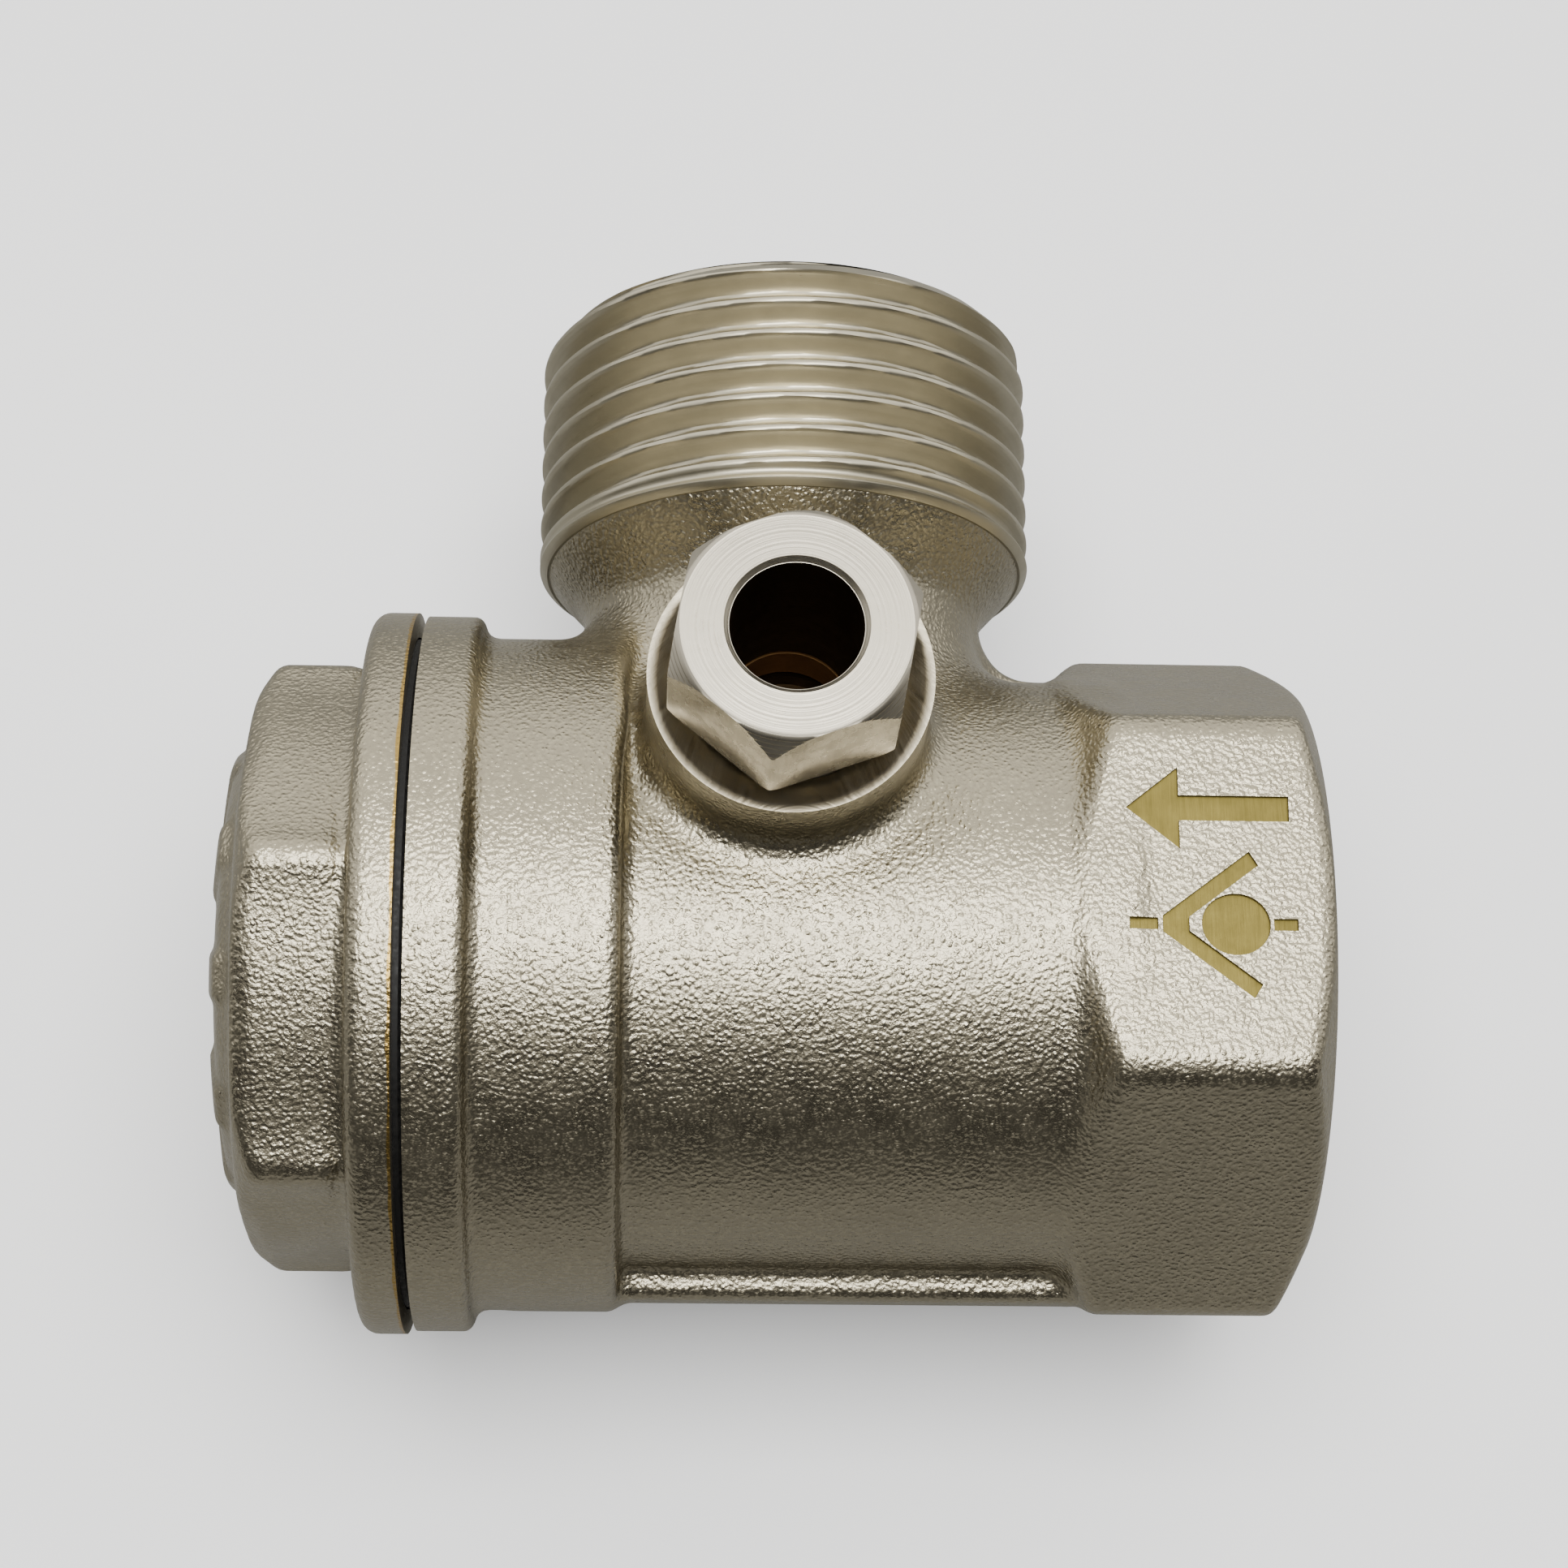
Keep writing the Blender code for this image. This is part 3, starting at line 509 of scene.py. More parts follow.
def body_distance(x, y, z):
    """The forging: collar, barrel, two unequal halves, hexagon end, stub and small boss."""
    main_r = np.hypot(y, z)
    collar = rod(x, main_r, BODY_LEFT - 0.6, -15.75, COLLAR_R, 0.5)
    barrel = rod(x, main_r, BODY_LEFT - 0.6, BARREL_RIGHT, BARREL_R, 0.6)
    upper = rod(x, main_r, -14, HEX_LEFT + 3, MIDDLE_R, 0.5)
    lower = meet(rod(x, main_r, -14, HEX_LEFT + 1.2, LOWER_R, 0.5), z + 0.15, 1.0)
    hexed = hex_distance(y, z, HEX_APOTHEM, HEX_CORNER_ROUND)
    hexed = meet(hexed, cone_side(x, main_r, HEX_LEFT, MIDDLE_R, HEX_LEFT + 1.7, 17.7), 0.5)
    hexed = meet(hexed, cone_side(x, main_r, BODY_RIGHT - 1.3, 17.65, BODY_RIGHT, 15.1), 0.5)
    hexed = meet(hexed, HEX_LEFT - 1.0 - x, 0.3)
    hexed = meet(hexed, x - BODY_RIGHT - 1.0, 0.3)
    solid = join(collar, barrel, 0.9)
    solid = join(solid, upper, 0.8)
    solid = join(solid, lower, 0.8)
    solid = join(solid, hexed, 0.7)
    stub_r = np.hypot(x, z)
    neck = rod(y, stub_r, 0, STUB_SHOULDER_Y, NECK_R, 0.2)
    head = rod(y, stub_r, 19.6, STUB_SHOULDER_Y + 2, STUB_R, 0.2)
    head = meet(head, cone_side(y, stub_r, 19.9, 10.6, 22.9, 13.25), 0.8)
    stub = join(neck, head, 1.1)
    solid = join(solid, stub, 3.4)
    port_r = np.hypot(x - PORT_X, y - PORT_Y)
    boss = rod(z, port_r, 3, RIM_Z + 1, RIM_R, 0.3)
    return join(solid, boss, 1.9)


def plug_distance(x, y, z):
    """The plug's forging: flange, neck, hexagon, shallow dome and a ring of plain raised bars."""
    main_r = np.hypot(y, z)
    flange = rod(x, main_r, FLANGE_LEFT, FLANGE_RIGHT + 2, FLANGE_R, 0.85)
    neck = rod(x, main_r, PLUG_HEX_LEFT + 1, FLANGE_RIGHT + 2, 14.2, 0.2)
    flat, across = math.cos(PLUG_HEX_FLAT), math.sin(PLUG_HEX_FLAT)
    v = z * flat - y * across
    u = z * across + y * flat
    hexed = hex_distance(u, v, PLUG_HEX_APOTHEM, 1.6)
    hexed = meet(hexed, cone_side(x, main_r, PLUG_HEX_LEFT, 14.3, PLUG_HEX_LEFT + 1.1, 16.1), 0.5)
    hexed = meet(hexed, x - PLUG_HEX_RIGHT, 0.9)
    hexed = meet(hexed, PLUG_HEX_LEFT - x, 0.4)
    dome_r = 62.0
    dome = np.sqrt((x - (PLUG_LEFT + 0.22 + dome_r)) ** 2 + main_r ** 2) - dome_r
    dome = meet(dome, main_r - 12.5, 2.2)
    dome = meet(dome, x - PLUG_HEX_LEFT - 1.5, 0.3)
    solid = join(join(hexed, neck, 1.4), flange, 1.1)
    solid = join(solid, dome, 0.7)
    bars = 10
    for k in range(bars):
        angle = 2 * math.pi * k / bars
        along_bar = np.abs(y * math.cos(angle) + z * math.sin(angle) - 9.6) - 1.5
        across_bar = np.abs(z * math.cos(angle) - y * math.sin(angle)) - 0.8
        bar = np.hypot(np.maximum(along_bar, 0), np.maximum(across_bar, 0)) - 0.35
        solid = join(solid, meet(bar, dome - 0.2, 0.4), 0.4)
    return solid


def gradient(distance, points, reach=0.02):
    steps = np.eye(3) * reach
    rise = [distance(*(points + s).T) - distance(*(points - s).T) for s in steps]
    return np.stack(rise, 1) / (2 * reach)


def settle(distance, points, rounds=3):
    for _ in range(rounds):
        slope = gradient(distance, points)
        size = np.maximum((slope ** 2).sum(1), 0.05)
        points = points - slope * (distance(*points.T) / size)[:, None]
    return points


def skin(name, distance, low, high, step):
    """Quads over the surface where the distance is zero, by surface nets, then settled onto it."""
    lines = [np.arange(a, b + step, step) for a, b in zip(low, high)]
    inside = distance(*np.meshgrid(*lines, indexing="ij")) < 0
    near = [slice(None, -1), slice(1, None)]
    counts = sum(inside[i, j, k].astype(int) for i in near for j in near for k in near)
    cells = np.argwhere((counts > 0) & (counts < 8))
    number = -np.ones(counts.shape, dtype=int)
    number[tuple(cells.T)] = np.arange(len(cells))
    faces = []
    for axis in range(3):
        b, c = (axis + 1) % 3, (axis + 2) % 3
        cut = [slice(None)] * 3
        cut[axis] = near[0]
        first = inside[tuple(cut)]
        cut[axis] = near[1]
        edges = np.argwhere(first != inside[tuple(cut)])
        step_b, step_c = np.eye(3, dtype=int)[b], np.eye(3, dtype=int)[c]
        shifts = (0 * step_b, step_b, step_b + step_c, step_c)
        quad = np.stack([number[tuple((edges - shift).T)] for shift in shifts], 1)
        out = first[tuple(edges.T)]
        faces.append(np.where(out[:, None], quad, quad[:, ::-1]))
    faces = np.concatenate(faces)
    points = np.array(low) + (cells + 0.5) * step
    points = settle(distance, points)
    pairs = np.concatenate([faces[:, [i, (i + 1) % 4]] for i in range(4)])
    for _ in range(3):
        total = np.zeros_like(points)
        weight = np.zeros(len(points))
        np.add.at(total, pairs[:, 0], points[pairs[:, 1]])
        np.add.at(weight, pairs[:, 0], 1)
        points = settle(distance, 0.4 * points + 0.6 * total / weight[:, None], 1)
    return mesh_from(name, settle(distance, points, 2), faces)


# ---- Threads ----

def thread_height(phase):
    """0 at the root and 1 at the crest, with both rounded."""
    slope = np.clip((1 - np.abs(2 * (phase % 1.0) - 1)) * 1.3 - 0.15, 0, 1)
    return 0.45 * slope + 0.55 * slope * slope * (3 - 2 * slope)


def thread_wave(pitch, depth, start, end, inside=False, handed=1):
    """Radius of a helical thread between two places, fading out over half a turn at its start."""
    def wave(a, r, angles):
        if not start <= a <= end:
            return np.full(len(angles), r)
        fade = min(1.0, 2 * (a - start) / pitch)
        root = (1 - thread_height((a - start) / pitch - handed * angles / (2 * math.pi))) * depth * fade
        return r + root if inside else r - root
    return wave


def rows(start, end, radius, step=0.09):
    count = max(2, round(abs(end - start) / step))
    return [(start + (end - start) * i / count, radius) for i in range(count + 1)]


# ---- Pieces ----

def valve_body(forged, turned_finish, rim_finish, dark_finish, mark_finish):
    """The forging, faced, bored and marked, in one mesh."""
    low = (BODY_LEFT - 1.3, -FLANGE_R - 0.7, -FLANGE_R - 0.7)
    high = (BODY_RIGHT + 2.2, STUB_SHOULDER_Y + 2.6, RIM_Z + 1.6)
    mesh = skin("valve_body_skin", body_distance, low, high, GRID)
    port = (PORT_X, PORT_Y, 0)
    mesh = combine(mesh, main_bore(), "DIFFERENCE", turned_finish, forged)
    mesh = combine(mesh, stub_bore(), "DIFFERENCE", turned_finish, forged)
    mesh = combine(mesh, port_pocket(), "DIFFERENCE", dark_finish, forged, port)
    mesh = combine(mesh, port_countersink(), "DIFFERENCE", rim_finish, forged, port)
    mesh = combine(mesh, gallery(), "DIFFERENCE", dark_finish, forged)
    for tool in flow_marks():
        mesh = combine(mesh, tool, "DIFFERENCE", mark_finish, forged)
    return mesh


def main_bore():
    """Faces both ends and cuts the plug bore, chamber, seat, inlet and the female thread's bed."""
    lip_left = SEAT_X - SEAT_LIP
    bed_r = FEMALE_MINOR_R + THREAD_BED
    outline = [
        (BODY_LEFT - PAST, 0), (BODY_LEFT - PAST, FAR), (BODY_LEFT, FAR), (BODY_LEFT, PLUG_BORE_R + 0.4),
        (BODY_LEFT + 0.4, PLUG_BORE_R), (CHAMBER_LEFT, PLUG_BORE_R), (CHAMBER_LEFT, CHAMBER_R),
        (SEAT_X, CHAMBER_R), (SEAT_X, ORIFICE_R + 1.0), (lip_left, ORIFICE_R + 0.9),
        (lip_left, ORIFICE_R + 0.2), (lip_left + 0.2, ORIFICE_R), (SEAT_RIGHT - 0.2, ORIFICE_R),
        (SEAT_RIGHT, ORIFICE_R + 0.2), (SEAT_RIGHT, INLET_R), (INLET_RIGHT, INLET_R), (INLET_RIGHT, bed_r),
        (BODY_RIGHT - 0.9, bed_r), (BODY_RIGHT, FEMALE_MOUTH_R), (BODY_RIGHT, FAR),
        (BODY_RIGHT + PAST, FAR), (BODY_RIGHT + PAST, 0),
    ]
    return turned_mesh("bore", outline, "X", 144)


def stub_bore():
    """Bores the stub and cuts the forging back to its shoulder, where male_thread goes on."""
    start = CHAMBER_R * 0.7
    outline = [
        (start, 0), (start, STUB_PASSAGE_R), (16, STUB_PASSAGE_R), (18, STUB_BORE_R),
        (STUB_SHOULDER_Y, STUB_BORE_R), (STUB_SHOULDER_Y, FAR), (STUB_END + PAST, FAR), (STUB_END + PAST, 0),
    ]
    return turned_mesh("stub_bore", outline, "Y", 120)


def port_pocket():
    """The small port below its countersink: pocket for the tube's end, olive seat and threaded hole."""
    ledge = NUT_END - 0.3
    top = RIM_Z - SINK_DEPTH - 0.5
    outline = [(10.5, 0), (10.5, TUBE_BORE_R), (11.65, TUBE_BORE_R), (13.0, 4.5), (ledge, 4.5),
               (ledge, PORT_R), (top, PORT_R), (top, 0)]
    return turned_mesh("port_pocket", outline, "Z", 96)


def port_countersink():
    """The countersink with its tool ridges, which also faces the boss."""
    bottom = RIM_Z - SINK_DEPTH
    outline = [(bottom - 1.0, 0), (bottom - 1.0, PORT_R), (bottom, PORT_R)]
    for k in range(SINK_RIDGES):
        share = (k + 1) / SINK_RIDGES
        z, r = bottom + SINK_DEPTH * share, PORT_R + SINK_WIDTH * share
        outline += [(z - 0.10, r - 0.20), (z, r)]
    outline += [(RIM_Z, RIM_R + 3), (RIM_Z + PAST, RIM_R + 3), (RIM_Z + PAST, 0)]
    return turned_mesh("port_bore", outline, "Z", 96)


def gallery():
    """The slanted hole from the small port to the inlet."""
    mesh = turned_mesh("gallery", [(0, 0), (0, GALLERY_R), (GALLERY_LENGTH, GALLERY_R), (GALLERY_LENGTH, 0)],
                       "Z", 32)
    start = Vector((PORT_X + 2.36, PORT_Y - 0.32, 11.2))
    end = Vector((9.75, 5.22, 5.22))
    turn = (end - start).to_track_quat("Z", "Y").to_matrix().to_4x4()
    mesh.transform(Matrix.Translation(start * MM) @ turn)
    return mesh


def flow_marks():
    """A plain flow arrow over the engineering sign for a check valve, engraved in the top flat."""
    top = HEX_APOTHEM + 1
    floor = HEX_APOTHEM - 0.22
    middle_x = 20.2

    def flat(name, outline):
        return prism_mesh(name, [(1.08 * x + middle_x, y) for x, y in outline], "Z", floor, top)

    arrow = [(-3.8, 4.3), (-1.4, 6.4), (-1.4, 4.95), (3.6, 4.95), (3.6, 3.65), (-1.4, 3.65), (-1.4, 2.2)]
    ball_r = 1.55
    round_the_ball = np.linspace(0, 2 * math.pi, 49)[:48]
    ball = [(1.0 + ball_r * math.cos(a), -1.6 + ball_r * math.sin(a)) for a in round_the_ball]
    vee = [(-1.1, -1.95), (2.1, -4.6), (1.7, -5.3), (-2.3, -2.0),
           (-2.3, -1.2), (1.7, 2.1), (2.1, 1.4), (-1.1, -1.25)]
    line = [(-3.8, -1.9), (-2.5, -1.9), (-2.5, -1.3), (-3.8, -1.3)]
    tail = [(2.7, -1.9), (3.8, -1.9), (3.8, -1.3), (2.7, -1.3)]
    return [flat(f"mark_{i}", shape) for i, shape in enumerate((arrow, ball, vee, line, tail))]


def male_thread():
    """Outside of the stub: G3/4 thread, chamfered tip and the mouth of the bore."""
    bottom = STUB_SHOULDER_Y - 0.3
    chamfer = 1.0
    profile = [(bottom, STUB_BORE_R - 0.02), (bottom, STUB_R - 0.4), (STUB_SHOULDER_Y, STUB_R - 0.02)]
    profile += rows(STUB_SHOULDER_Y + 0.05, STUB_END, STUB_R)
    profile += [(STUB_END, STUB_R - chamfer - 0.1), (STUB_END, STUB_BORE_R + 0.35),
                (STUB_END - 0.35, STUB_BORE_R - 0.02)]
    helix = thread_wave(G34_PITCH, G34_DEPTH, STUB_SHOULDER_Y + 0.1, STUB_END)

    def wave(a, r, angles):
        if r < STUB_R - 0.01:
            return np.full(len(angles), r)
        reach = helix(a, r, angles)
        tip = STUB_R - max(0.0, a - (STUB_END - chamfer))
        return np.minimum(reach, tip)
    return turned_mesh("male_thread_skin", profile, "Y", 192, wave)


def female_thread():
    """Inside thread of the female end."""
    left = BODY_RIGHT - FEMALE_DEPTH
    right = BODY_RIGHT - 0.95
    outer = FEMALE_MINOR_R + 1.45
    profile = [(left - 0.1, outer), (left - 0.1, INLET_R + 0.5)] + rows(left, right, FEMALE_MINOR_R)
    profile += [(right, outer)]
    helix = thread_wave(G34_PITCH, G34_DEPTH, left + 0.5, right, inside=True)

    def wave(a, r, angles):
        if r != FEMALE_MINOR_R:
            return np.full(len(angles), r)
        return np.maximum(helix(a, r, angles), FEMALE_MINOR_R + 1.1 * max(0.0, (a - right + 1.1) / 1.1))
    return turned_mesh("female_thread_skin", profile, "X", 160, wave)


def end_plug(forged, turned_finish):
    """The plug's forging, with the gasket's recess and the inside cut out for plug_skirt."""
    low = (PLUG_LEFT - 0.75, -FLANGE_R - 0.7, -FLANGE_R - 0.7)
    high = (FLANGE_RIGHT + 2.6, FLANGE_R + 0.7, FLANGE_R + 0.7)
    mesh = skin("end_plug_skin", plug_distance, low, high, GRID)
    recess = FLANGE_RIGHT - 0.6
    right = FLANGE_RIGHT + PAST
    facing = [(recess, SKIRT_R), (recess, GASKET_R + 0.1), (FLANGE_RIGHT, GASKET_R + 0.1),
              (FLANGE_RIGHT, FAR), (right, FAR), (right, SKIRT_R)]
    mesh = combine(mesh, turned_mesh("facing", facing, "X", 144), "DIFFERENCE", turned_finish, forged)
    floor = -17.9
    cavity = [(floor, 0), (floor, SKIRT_R - SKIRT_WALL), (right, SKIRT_R - SKIRT_WALL), (right, 0)]
    return combine(mesh, turned_mesh("cavity", cavity, "X", 144), "DIFFERENCE", turned_finish, forged)


def plug_skirt():
    """The plug's threaded skirt with its inner face and the guide sleeve."""
    guide_end = low_mm("check_piston", 0) + 7.1
    guide_bottom = low_mm("check_piston", 0) - 5.8
    left = FLANGE_RIGHT - 0.9
    profile = [(left, 0), (left, SKIRT_R - 0.2), (FLANGE_RIGHT - 0.4, SKIRT_R - 0.2)]
    profile += rows(FLANGE_RIGHT - 0.3, SKIRT_END - 0.1, SKIRT_R)
    profile += [(SKIRT_END, SKIRT_R - SKIRT_WALL), (SKIRT_END, GUIDE_R), (guide_end - 0.3, GUIDE_R),
                (guide_end, GUIDE_R - 0.3), (guide_end, GUIDE_BORE_R + 0.2), (guide_end - 0.2, GUIDE_BORE_R),
                (guide_bottom, GUIDE_BORE_R), (guide_bottom, 0)]
    helix = thread_wave(PLUG_PITCH, PLUG_DEPTH, FLANGE_RIGHT + 0.9, SKIRT_END)

    def wave(a, r, angles):
        return helix(a, r, angles) if r == SKIRT_R else np.full(len(angles), r)
    return turned_mesh("plug_skirt_skin", profile, "X", 160, wave)


def gland_nut(side_finish, face_finish, bore_finish):
    """Hexagon head under a turned cone and face, on a threaded shank, bored for the tube."""
    head = prism_mesh("gland_nut_head", hexagon(NUT_APOTHEM, NUT_CORNER - math.radians(30)), "Z",
                      NUT_HEAD_Z, NUT_TOP + 1)
    bm = bmesh.new()
    bm.from_mesh(head)
    upright = [e for e in bm.edges if abs(e.verts[0].co.z - e.verts[1].co.z) > 2 * MM]
    bmesh.ops.bevel(bm, geom=upright, offset=0.10 * MM, segments=2, affect="EDGES", profile=0.5)
    bm.to_mesh(head)
    bm.free()
    corner_r = NUT_APOTHEM / math.cos(math.radians(30))
    outline = [(NUT_HEAD_Z - 2, 0), (NUT_HEAD_Z - 2, corner_r - 0.5), (NUT_HEAD_Z, corner_r - 0.25),
               (NUT_HEAD_Z + 0.35, corner_r + 0.1),
               (NUT_TOP - NUT_CONE_HEIGHT - 0.05, corner_r + 0.1)]
    for k in range(NUT_CONE_LINES):
        rise = (k + 0.5) / NUT_CONE_LINES
        r = corner_r + 0.05 - rise * (corner_r - NUT_FACE_R - 0.05)
        outline += [(NUT_TOP - NUT_CONE_HEIGHT * (1 - rise), r + 0.03 * (-1) ** k)]
    outline += [(NUT_TOP - 0.03, NUT_FACE_R + 0.02), (NUT_TOP, NUT_FACE_R - 0.05)]
    for k in range(1, NUT_FACE_LINES):
        r = NUT_FACE_R - 0.1 - (NUT_FACE_R - 0.1 - 3.45) * k / NUT_FACE_LINES
        outline += [(NUT_TOP - (0.008 if k % 2 else 0.0), r)]
    outline += [(NUT_TOP, 3.4), (NUT_TOP, 0)]
    envelope = turned_mesh("nut_envelope", outline, "Z", 144)
    nut = combine(head, envelope, "INTERSECT", face_finish, side_finish)
    low, high = NUT_HEAD_Z - PAST, NUT_TOP + PAST
    bore = [(low, 0), (low, TUBE_BORE_R), (high, TUBE_BORE_R), (high, 0)]
    nut = combine(nut, turned_mesh("nut_bore", bore, "Z", 96), "DIFFERENCE", bore_finish, side_finish)
    lead = [(NUT_TOP - 0.5, 0), (NUT_TOP - 0.25, TUBE_BORE_R + 0.02), (NUT_TOP + 0.01, TUBE_BORE_R + 0.27),
            (high, TUBE_BORE_R + 0.27), (high, 0)]
    return combine(nut, turned_mesh("nut_lead", lead, "Z", 96), "DIFFERENCE", face_finish, side_finish)


def nut_shank():
    """Threaded shank of the nut, with its second material in the bore."""
    shank_r = 4.9
    cone_r = 4.3
    profile = [(NUT_END + cone_r - TUBE_BORE_R, TUBE_BORE_R), (NUT_END, cone_r), (NUT_END, shank_r - 0.4)]
    profile += rows(NUT_END + 0.3, NUT_HEAD_Z - 0.4, shank_r, 0.08)
    profile += [(NUT_HEAD_Z - 0.3, shank_r - 0.45), (NUT_HEAD_Z + 0.1, shank_r - 0.45),
                (NUT_HEAD_Z + 0.1, TUBE_BORE_R)]
    helix = thread_wave(M10_PITCH, M10_DEPTH, NUT_END + 0.3, NUT_HEAD_Z - 0.4)

    def wave(a, r, angles):
        return helix(a, r, angles) if r == shank_r else np.full(len(angles), r)
    mesh = turned_mesh("nut_shank_skin", profile, "Z", 96, wave)
    for face in mesh.polygons:
        face.material_index = int(face.center.xy.length < (TUBE_BORE_R + 0.2) * MM)
    return mesh


def ring_piece(name, body, node, slot, finish, outline, axis="X", origin=CENTRE, sides=96):
    mesh = turned_mesh(name + "_skin", outline, axis, sides)
    return finish_piece(name, mesh, body, node, slot, [finish], origin)


def spring_mesh():
    """Round wire wound close at each end and open between."""
    wire = 0.35
    mean_r = high_mm("check_spring", 2) - wire
    first = low_mm("check_spring", 0) + wire
    last = high_mm("check_spring", 0) - wire
    turns, close = 5, 0.74
    count = turns * 40
    t = np.linspace(0, turns, count + 1)
    place = np.interp(t, [0, 1, turns - 1, turns], [first, first + close, last - close, last])
    angle = t * 2 * math.pi
    sides = 12
    verts, faces = [], []
    for p, a in zip(place, angle):
        radial = np.array([0, -math.sin(a), math.cos(a)])
        for k in range(sides):
            b = 2 * math.pi * k / sides
            verts.append(np.array([p, 0, 0]) + radial * (mean_r + wire * math.cos(b))
                         + np.array([wire * math.sin(b), 0, 0]))
    for i in range(count):
        for k in range(sides):
            j = (k + 1) % sides
            faces.append((i * sides + k, i * sides + j, (i + 1) * sides + j, (i + 1) * sides + k))
    faces.append(tuple(range(sides - 1, -1, -1)))
    faces.append(tuple(count * sides + k for k in range(sides)))
    return mesh_from("check_spring_skin", verts, faces)


def outer_pieces(black):
    """The body, plug, nut and gasket."""
    forged = forged_nickel()
    plug_forged = forged_nickel("forged_nickel_edge", brass_edge=FLANGE_RIGHT)
    bore_finish = machined("bored_nickel", (0.40, 0.365, 0.28), 0.30, "X")
    thread_finish = machined("cut_thread_nickel", (0.45, 0.415, 0.32), 0.33, "Y", 0.25, 0.005)
    rim_finish = machined("countersunk_nickel", (0.44, 0.395, 0.30), 0.34, "Z", 0.3, 0.02)
    mark_finish = milled("bare_brass", (0.135, 0.108, 0.030), 0.45, "Y")
    # The hexagon's sides get a darker colour than its face: painted shade.
    nut_side = milled("milled_nickel", NUT_SIDE_WITH_PAINTED_SHADE, 0.24, "Z")
    nut_face = machined("faced_nickel", BRIGHT, 0.30, "Z", 0.12, 0.008)
    # Near-black colour of the port pocket, gallery and nut bore: some tarnish, mostly painted shade of the
    # deep holes.
    dark_bore = machined("tarnish_and_painted_shade_bore", (0.045, 0.028, 0.014), 0.45, "Z")

    body_mesh = valve_body(forged, bore_finish, rim_finish, dark_bore, mark_finish)
    nut_mesh = gland_nut(nut_side, nut_face, dark_bore)
    on_body = ("valve", "valve_body", "forged_nickel")
    on_plug = ("plug", "end_plug", "forged_nickel")
    on_nut = ("nut", "gland_nut", "turned_nickel")
    finish_piece("forged_body", body_mesh, *on_body, [forged])
    finish_piece("male_thread", male_thread(), *on_body, [thread_finish])
    finish_piece("female_thread", female_thread(), *on_body, [bore_finish])
    finish_piece("plug_head", end_plug(plug_forged, bore_finish), *on_plug, [plug_forged])
    finish_piece("plug_skirt", plug_skirt(), *on_plug, [bore_finish])
    finish_piece("nut_head", nut_mesh, *on_nut, [nut_side], PORT, 25)
    finish_piece("nut_shank", nut_shank(), *on_nut, [rim_finish, dark_bore], PORT)

    left, right = low_mm("plug_gasket", 0), high_mm("plug_gasket", 0)
    inner = 14.3
    ring_piece("gasket_ring", "plug_travel", "plug_gasket", "black_rubber", black,
               [(left, inner), (left, GASKET_R - 0.15), (left + 0.15, GASKET_R), (right - 0.15, GASKET_R),
                (right, GASKET_R - 0.15), (right, inner)], sides=144)


def screw_mesh(steel, left, right):
    """Slotted cheese-head screw."""
    head = right - 1.6
    slot = [(0.35, -3.5), (0.35, 3.5), (-0.35, 3.5), (-0.35, -3.5)]
    screw = [(left, 0), (left, 1.1), (left + 0.3, 1.4), (head, 1.4), (head, 2.5), (head + 0.1, 2.6),
             (right - 0.35, 2.6), (right - 0.1, 2.4), (right, 2.1), (right, 0)]
    tool = prism_mesh("screw_slot", slot, "X", right - 0.7, right + 1)
    return combine(turned_mesh("seal_screw_skin", screw, "X", 64), tool, "DIFFERENCE", steel, steel)


def inner_pieces(black):
    """The piston with its seal, washer and screw, the olive and the spring."""
    brass = machined("turned_brass", (0.78, 0.55, 0.24), 0.25, "X")
    olive_brass = machined("turned_brass_ring", (0.30, 0.16, 0.06), 0.35, "Z")
    steel = machined("bright_steel", (0.62, 0.62, 0.62), 0.22, "X")
    hole = 1.7
    stem_end, cup_right = low_mm("check_piston", 0), high_mm("check_piston", 0)
    floor = low_mm("piston_seal", 0) - 0.3
    back = floor - 1.7
    piston = [(stem_end, 0), (stem_end, 3.2), (stem_end + 0.3, 3.5), (back - 0.25, 3.5), (back, 3.75),
              (back, 7.8), (back + 0.2, 8.0), (cup_right - 0.2, 8.0), (cup_right, 7.8), (cup_right, 7.25),
              (cup_right - 0.15, 7.1), (floor, 7.1), (floor, hole), (floor - 3.5, hole), (floor - 3.5, 0)]
    ring_piece("piston_brass", "piston", "check_piston", "brass", brass, piston)
    left, right = low_mm("piston_seal", 0), high_mm("piston_seal", 0)
    seal = [(left, hole), (left, 6.8), (right - 0.3, 6.8), (right - 0.05, 6.55), (right, 6.3), (right, hole)]
    ring_piece("seal_disc", "piston", "piston_seal", "black_rubber", black, seal)
    left, right = low_mm("seal_washer", 0), high_mm("seal_washer", 0)
    washer = [(left, hole), (left, 3.5), (left + 0.1, 3.6), (right - 0.1, 3.6), (right, 3.5), (right, hole)]
    ring_piece("washer_steel", "piston", "seal_washer", "steel", steel, washer)
    mesh = screw_mesh(steel, low_mm("seal_screw", 0), high_mm("seal_screw", 0))
    finish_piece("screw_steel", mesh, "piston", "seal_screw", "steel", [steel])

    low, high = low_mm("olive", 2), high_mm("olive", 2)
    waist = (low + high) / 2
    olive = [(low, TUBE_BORE_R), (low, 3.4), (waist - 0.15, 4.15), (waist, 4.2), (waist + 0.15, 4.15),
             (high, 3.4), (high, TUBE_BORE_R)]
    ring_piece("olive_ring", "nut_travel", "olive", "brass", olive_brass, olive, "Z", PORT)

    spring = finish_piece("spring_wire", spring_mesh(), "valve", "check_spring", "steel", [steel])
    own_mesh(spring)


# ---- Studio ----

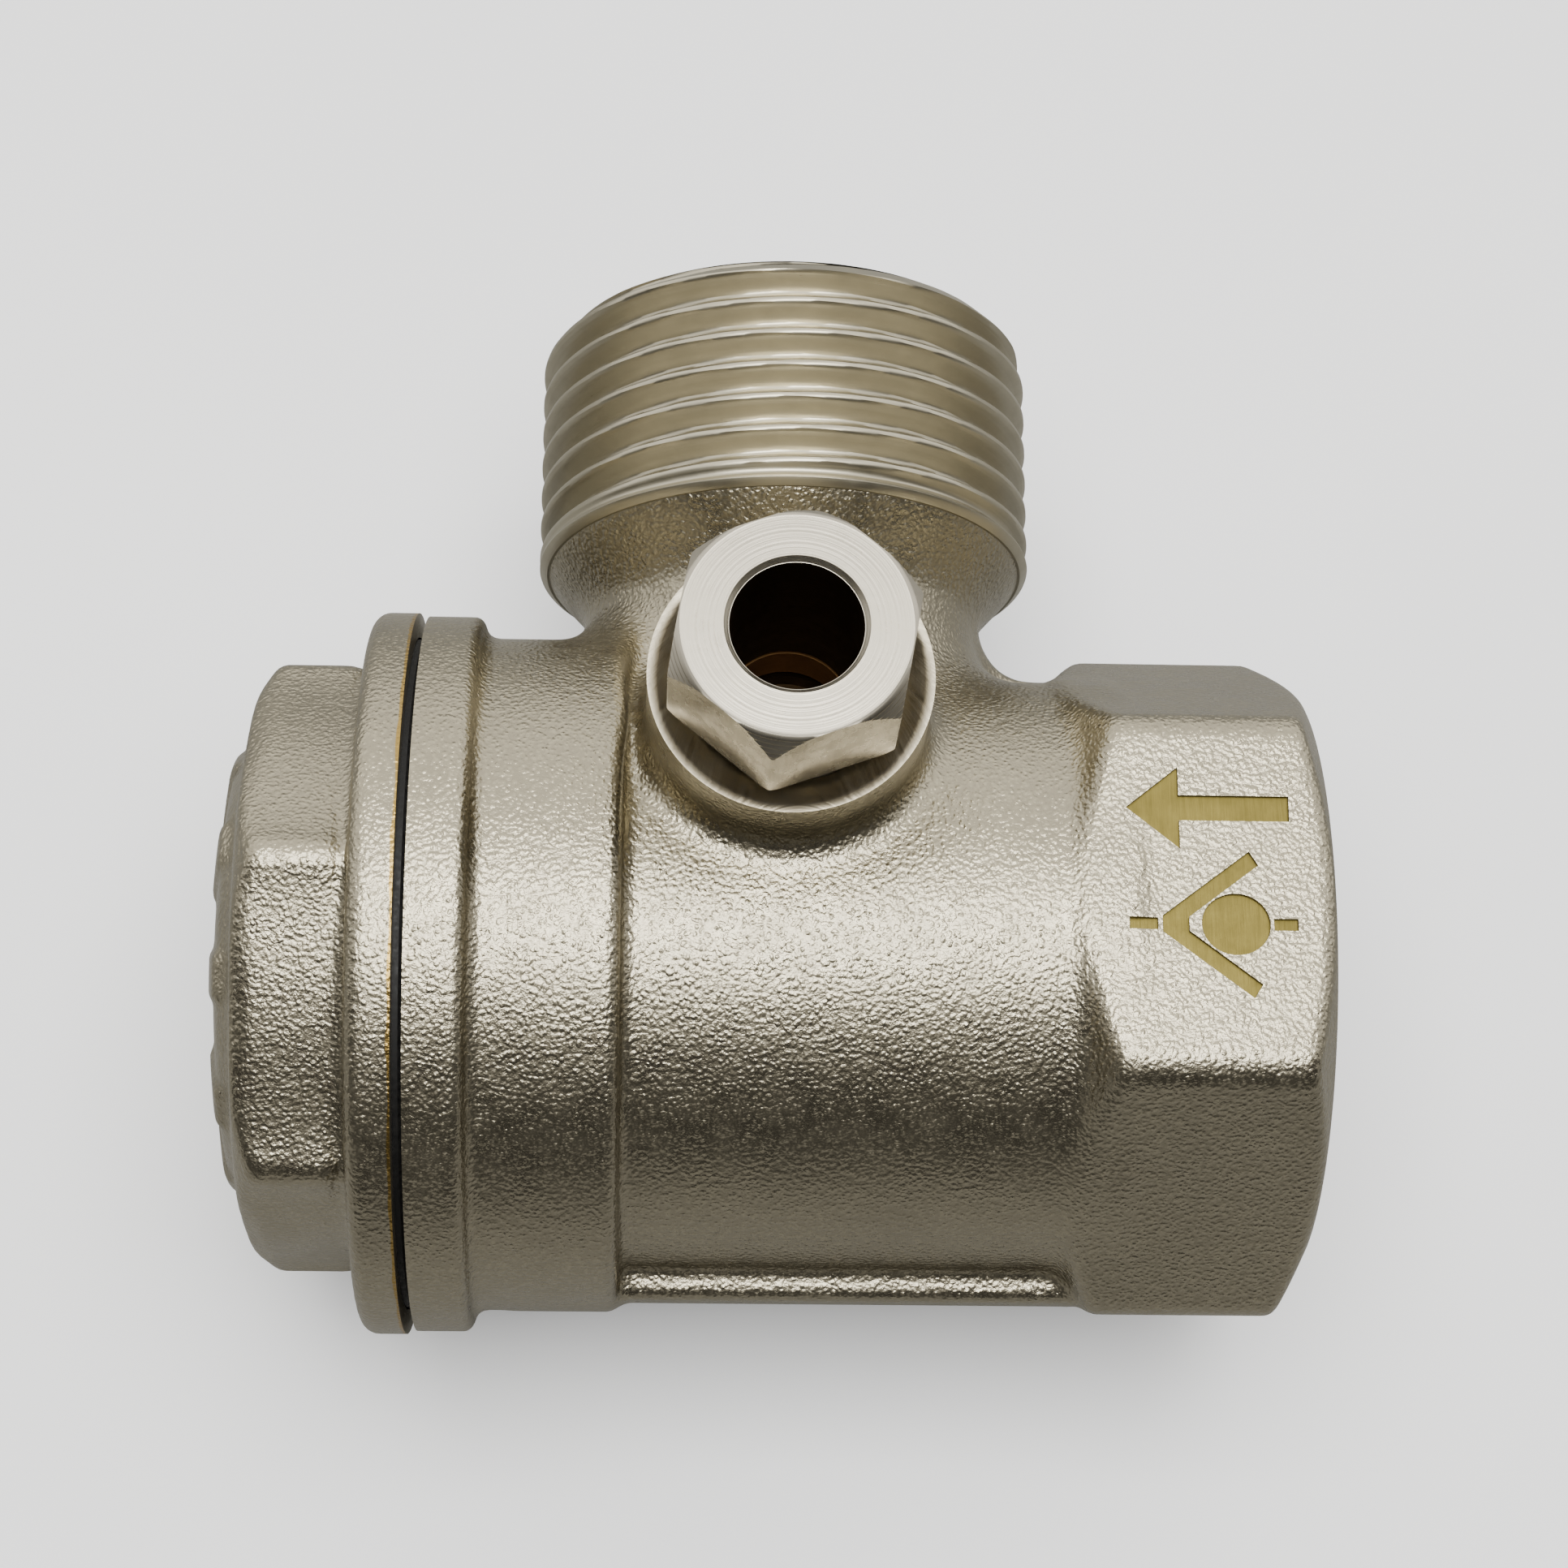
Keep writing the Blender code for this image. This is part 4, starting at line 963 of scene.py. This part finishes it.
def area_light(name, place_mm, aim_mm, size_mm, power, colour=(1, 1, 1)):
    lamp = bpy.data.lights.new(name, "AREA")
    lamp.shape = "RECTANGLE"
    lamp.size, lamp.size_y = [value * MM for value in size_mm]
    lamp.energy = power
    lamp.color = colour
    item = bpy.data.objects.new(name, lamp)
    bpy.context.scene.collection.objects.link(item)
    item.location = CENTRE + Vector(place_mm) * MM
    aim = CENTRE + Vector(aim_mm) * MM
    item.rotation_euler = (aim - item.location).to_track_quat("-Z", "Y").to_euler()
    return item


def studio():
    """Pale floor, a soft box overhead and a world that is brighter towards the back and above."""
    floor_mesh = bpy.data.meshes.new("floor")
    reach = 3.0
    corners = [(-reach, -reach, 0), (reach, -reach, 0), (reach, reach, 0), (-reach, reach, 0)]
    floor_mesh.from_pydata(corners, [], [(0, 1, 2, 3)])
    floor = bpy.data.objects.new("floor", floor_mesh)
    bpy.context.scene.collection.objects.link(floor)
    paper, tree, shader = node_material("pale_paper")
    tone = noise(tree, object_place(tree), 60.0, 3.0)
    seen = blend_colours(tree, spread(tree, tone, 0.3, 0.7), (0.80, 0.805, 0.82), (0.85, 0.855, 0.87))
    direct = tree.nodes.new("ShaderNodeLightPath").outputs["Is Camera Ray"]
    tree.links.new(blend_colours(tree, direct, (0.21, 0.21, 0.205), seen), shader.inputs["Base Color"])
    shader.inputs["Roughness"].default_value = 0.6
    shader.inputs["Emission Color"].default_value = (0.97, 0.98, 1.0, 1.0)
    tree.links.new(math_node(tree, "MULTIPLY", direct, 0.2), shader.inputs["Emission Strength"])
    floor_mesh.materials.append(paper)

    world = bpy.data.worlds.new("studio")
    world.use_nodes = True
    bpy.context.scene.world = world
    tree = world.node_tree
    background = tree.nodes["Background"]
    direction = tree.nodes.new("ShaderNodeTexCoord").outputs["Generated"]
    parts = add(tree, "ShaderNodeSeparateXYZ")
    tree.links.new(direction, parts.inputs[0])
    sides = spread(tree, parts.outputs[1], -0.30, 0.45, 0.07, 1.9)
    above = spread(tree, parts.outputs[2], 0.45, 0.95, 0.0, 0.65)
    ramp = tinted(tree, math_node(tree, "MAXIMUM", sides, above), (1.0, 0.985, 0.95))
    rays = tree.nodes.new("ShaderNodeLightPath").outputs["Is Camera Ray"]
    shown = blend_colours(tree, rays, ramp, (1.45, 1.45, 1.46))
    tree.links.new(shown, background.inputs[0])
    background.inputs[1].default_value = 1.0
    area_light("overhead", (0, -5, 430), (0, 0, 0), (320, 260), 2.8, (1.0, 0.995, 0.97))


def camera():
    """The photograph's viewing angle, as three directions and a place relative to CENTRE."""
    lens = bpy.data.cameras.new("camera")
    lens.sensor_width = 36.0
    lens.lens = 81.57
    lens.clip_start = 0.01
    lens.clip_end = 50.0
    item = bpy.data.objects.new("camera", lens)
    bpy.context.scene.collection.objects.link(item)
    right = Vector((0.9992, 0.0011, 0.0400))
    up = Vector((-0.0141, 0.9447, 0.3275))
    back = right.cross(up).normalized()
    place = CENTRE + Vector((-7.04, -51.42, 178.7)) * MM
    item.matrix_world = Matrix((
        (right.x, up.x, back.x, place.x), (right.y, up.y, back.y, place.y),
        (right.z, up.z, back.z, place.z), (0, 0, 0, 1)))
    bpy.context.scene.camera = item


black_rubber = rubber()
outer_pieces(black_rubber)
inner_pieces(black_rubber)
studio()
camera()
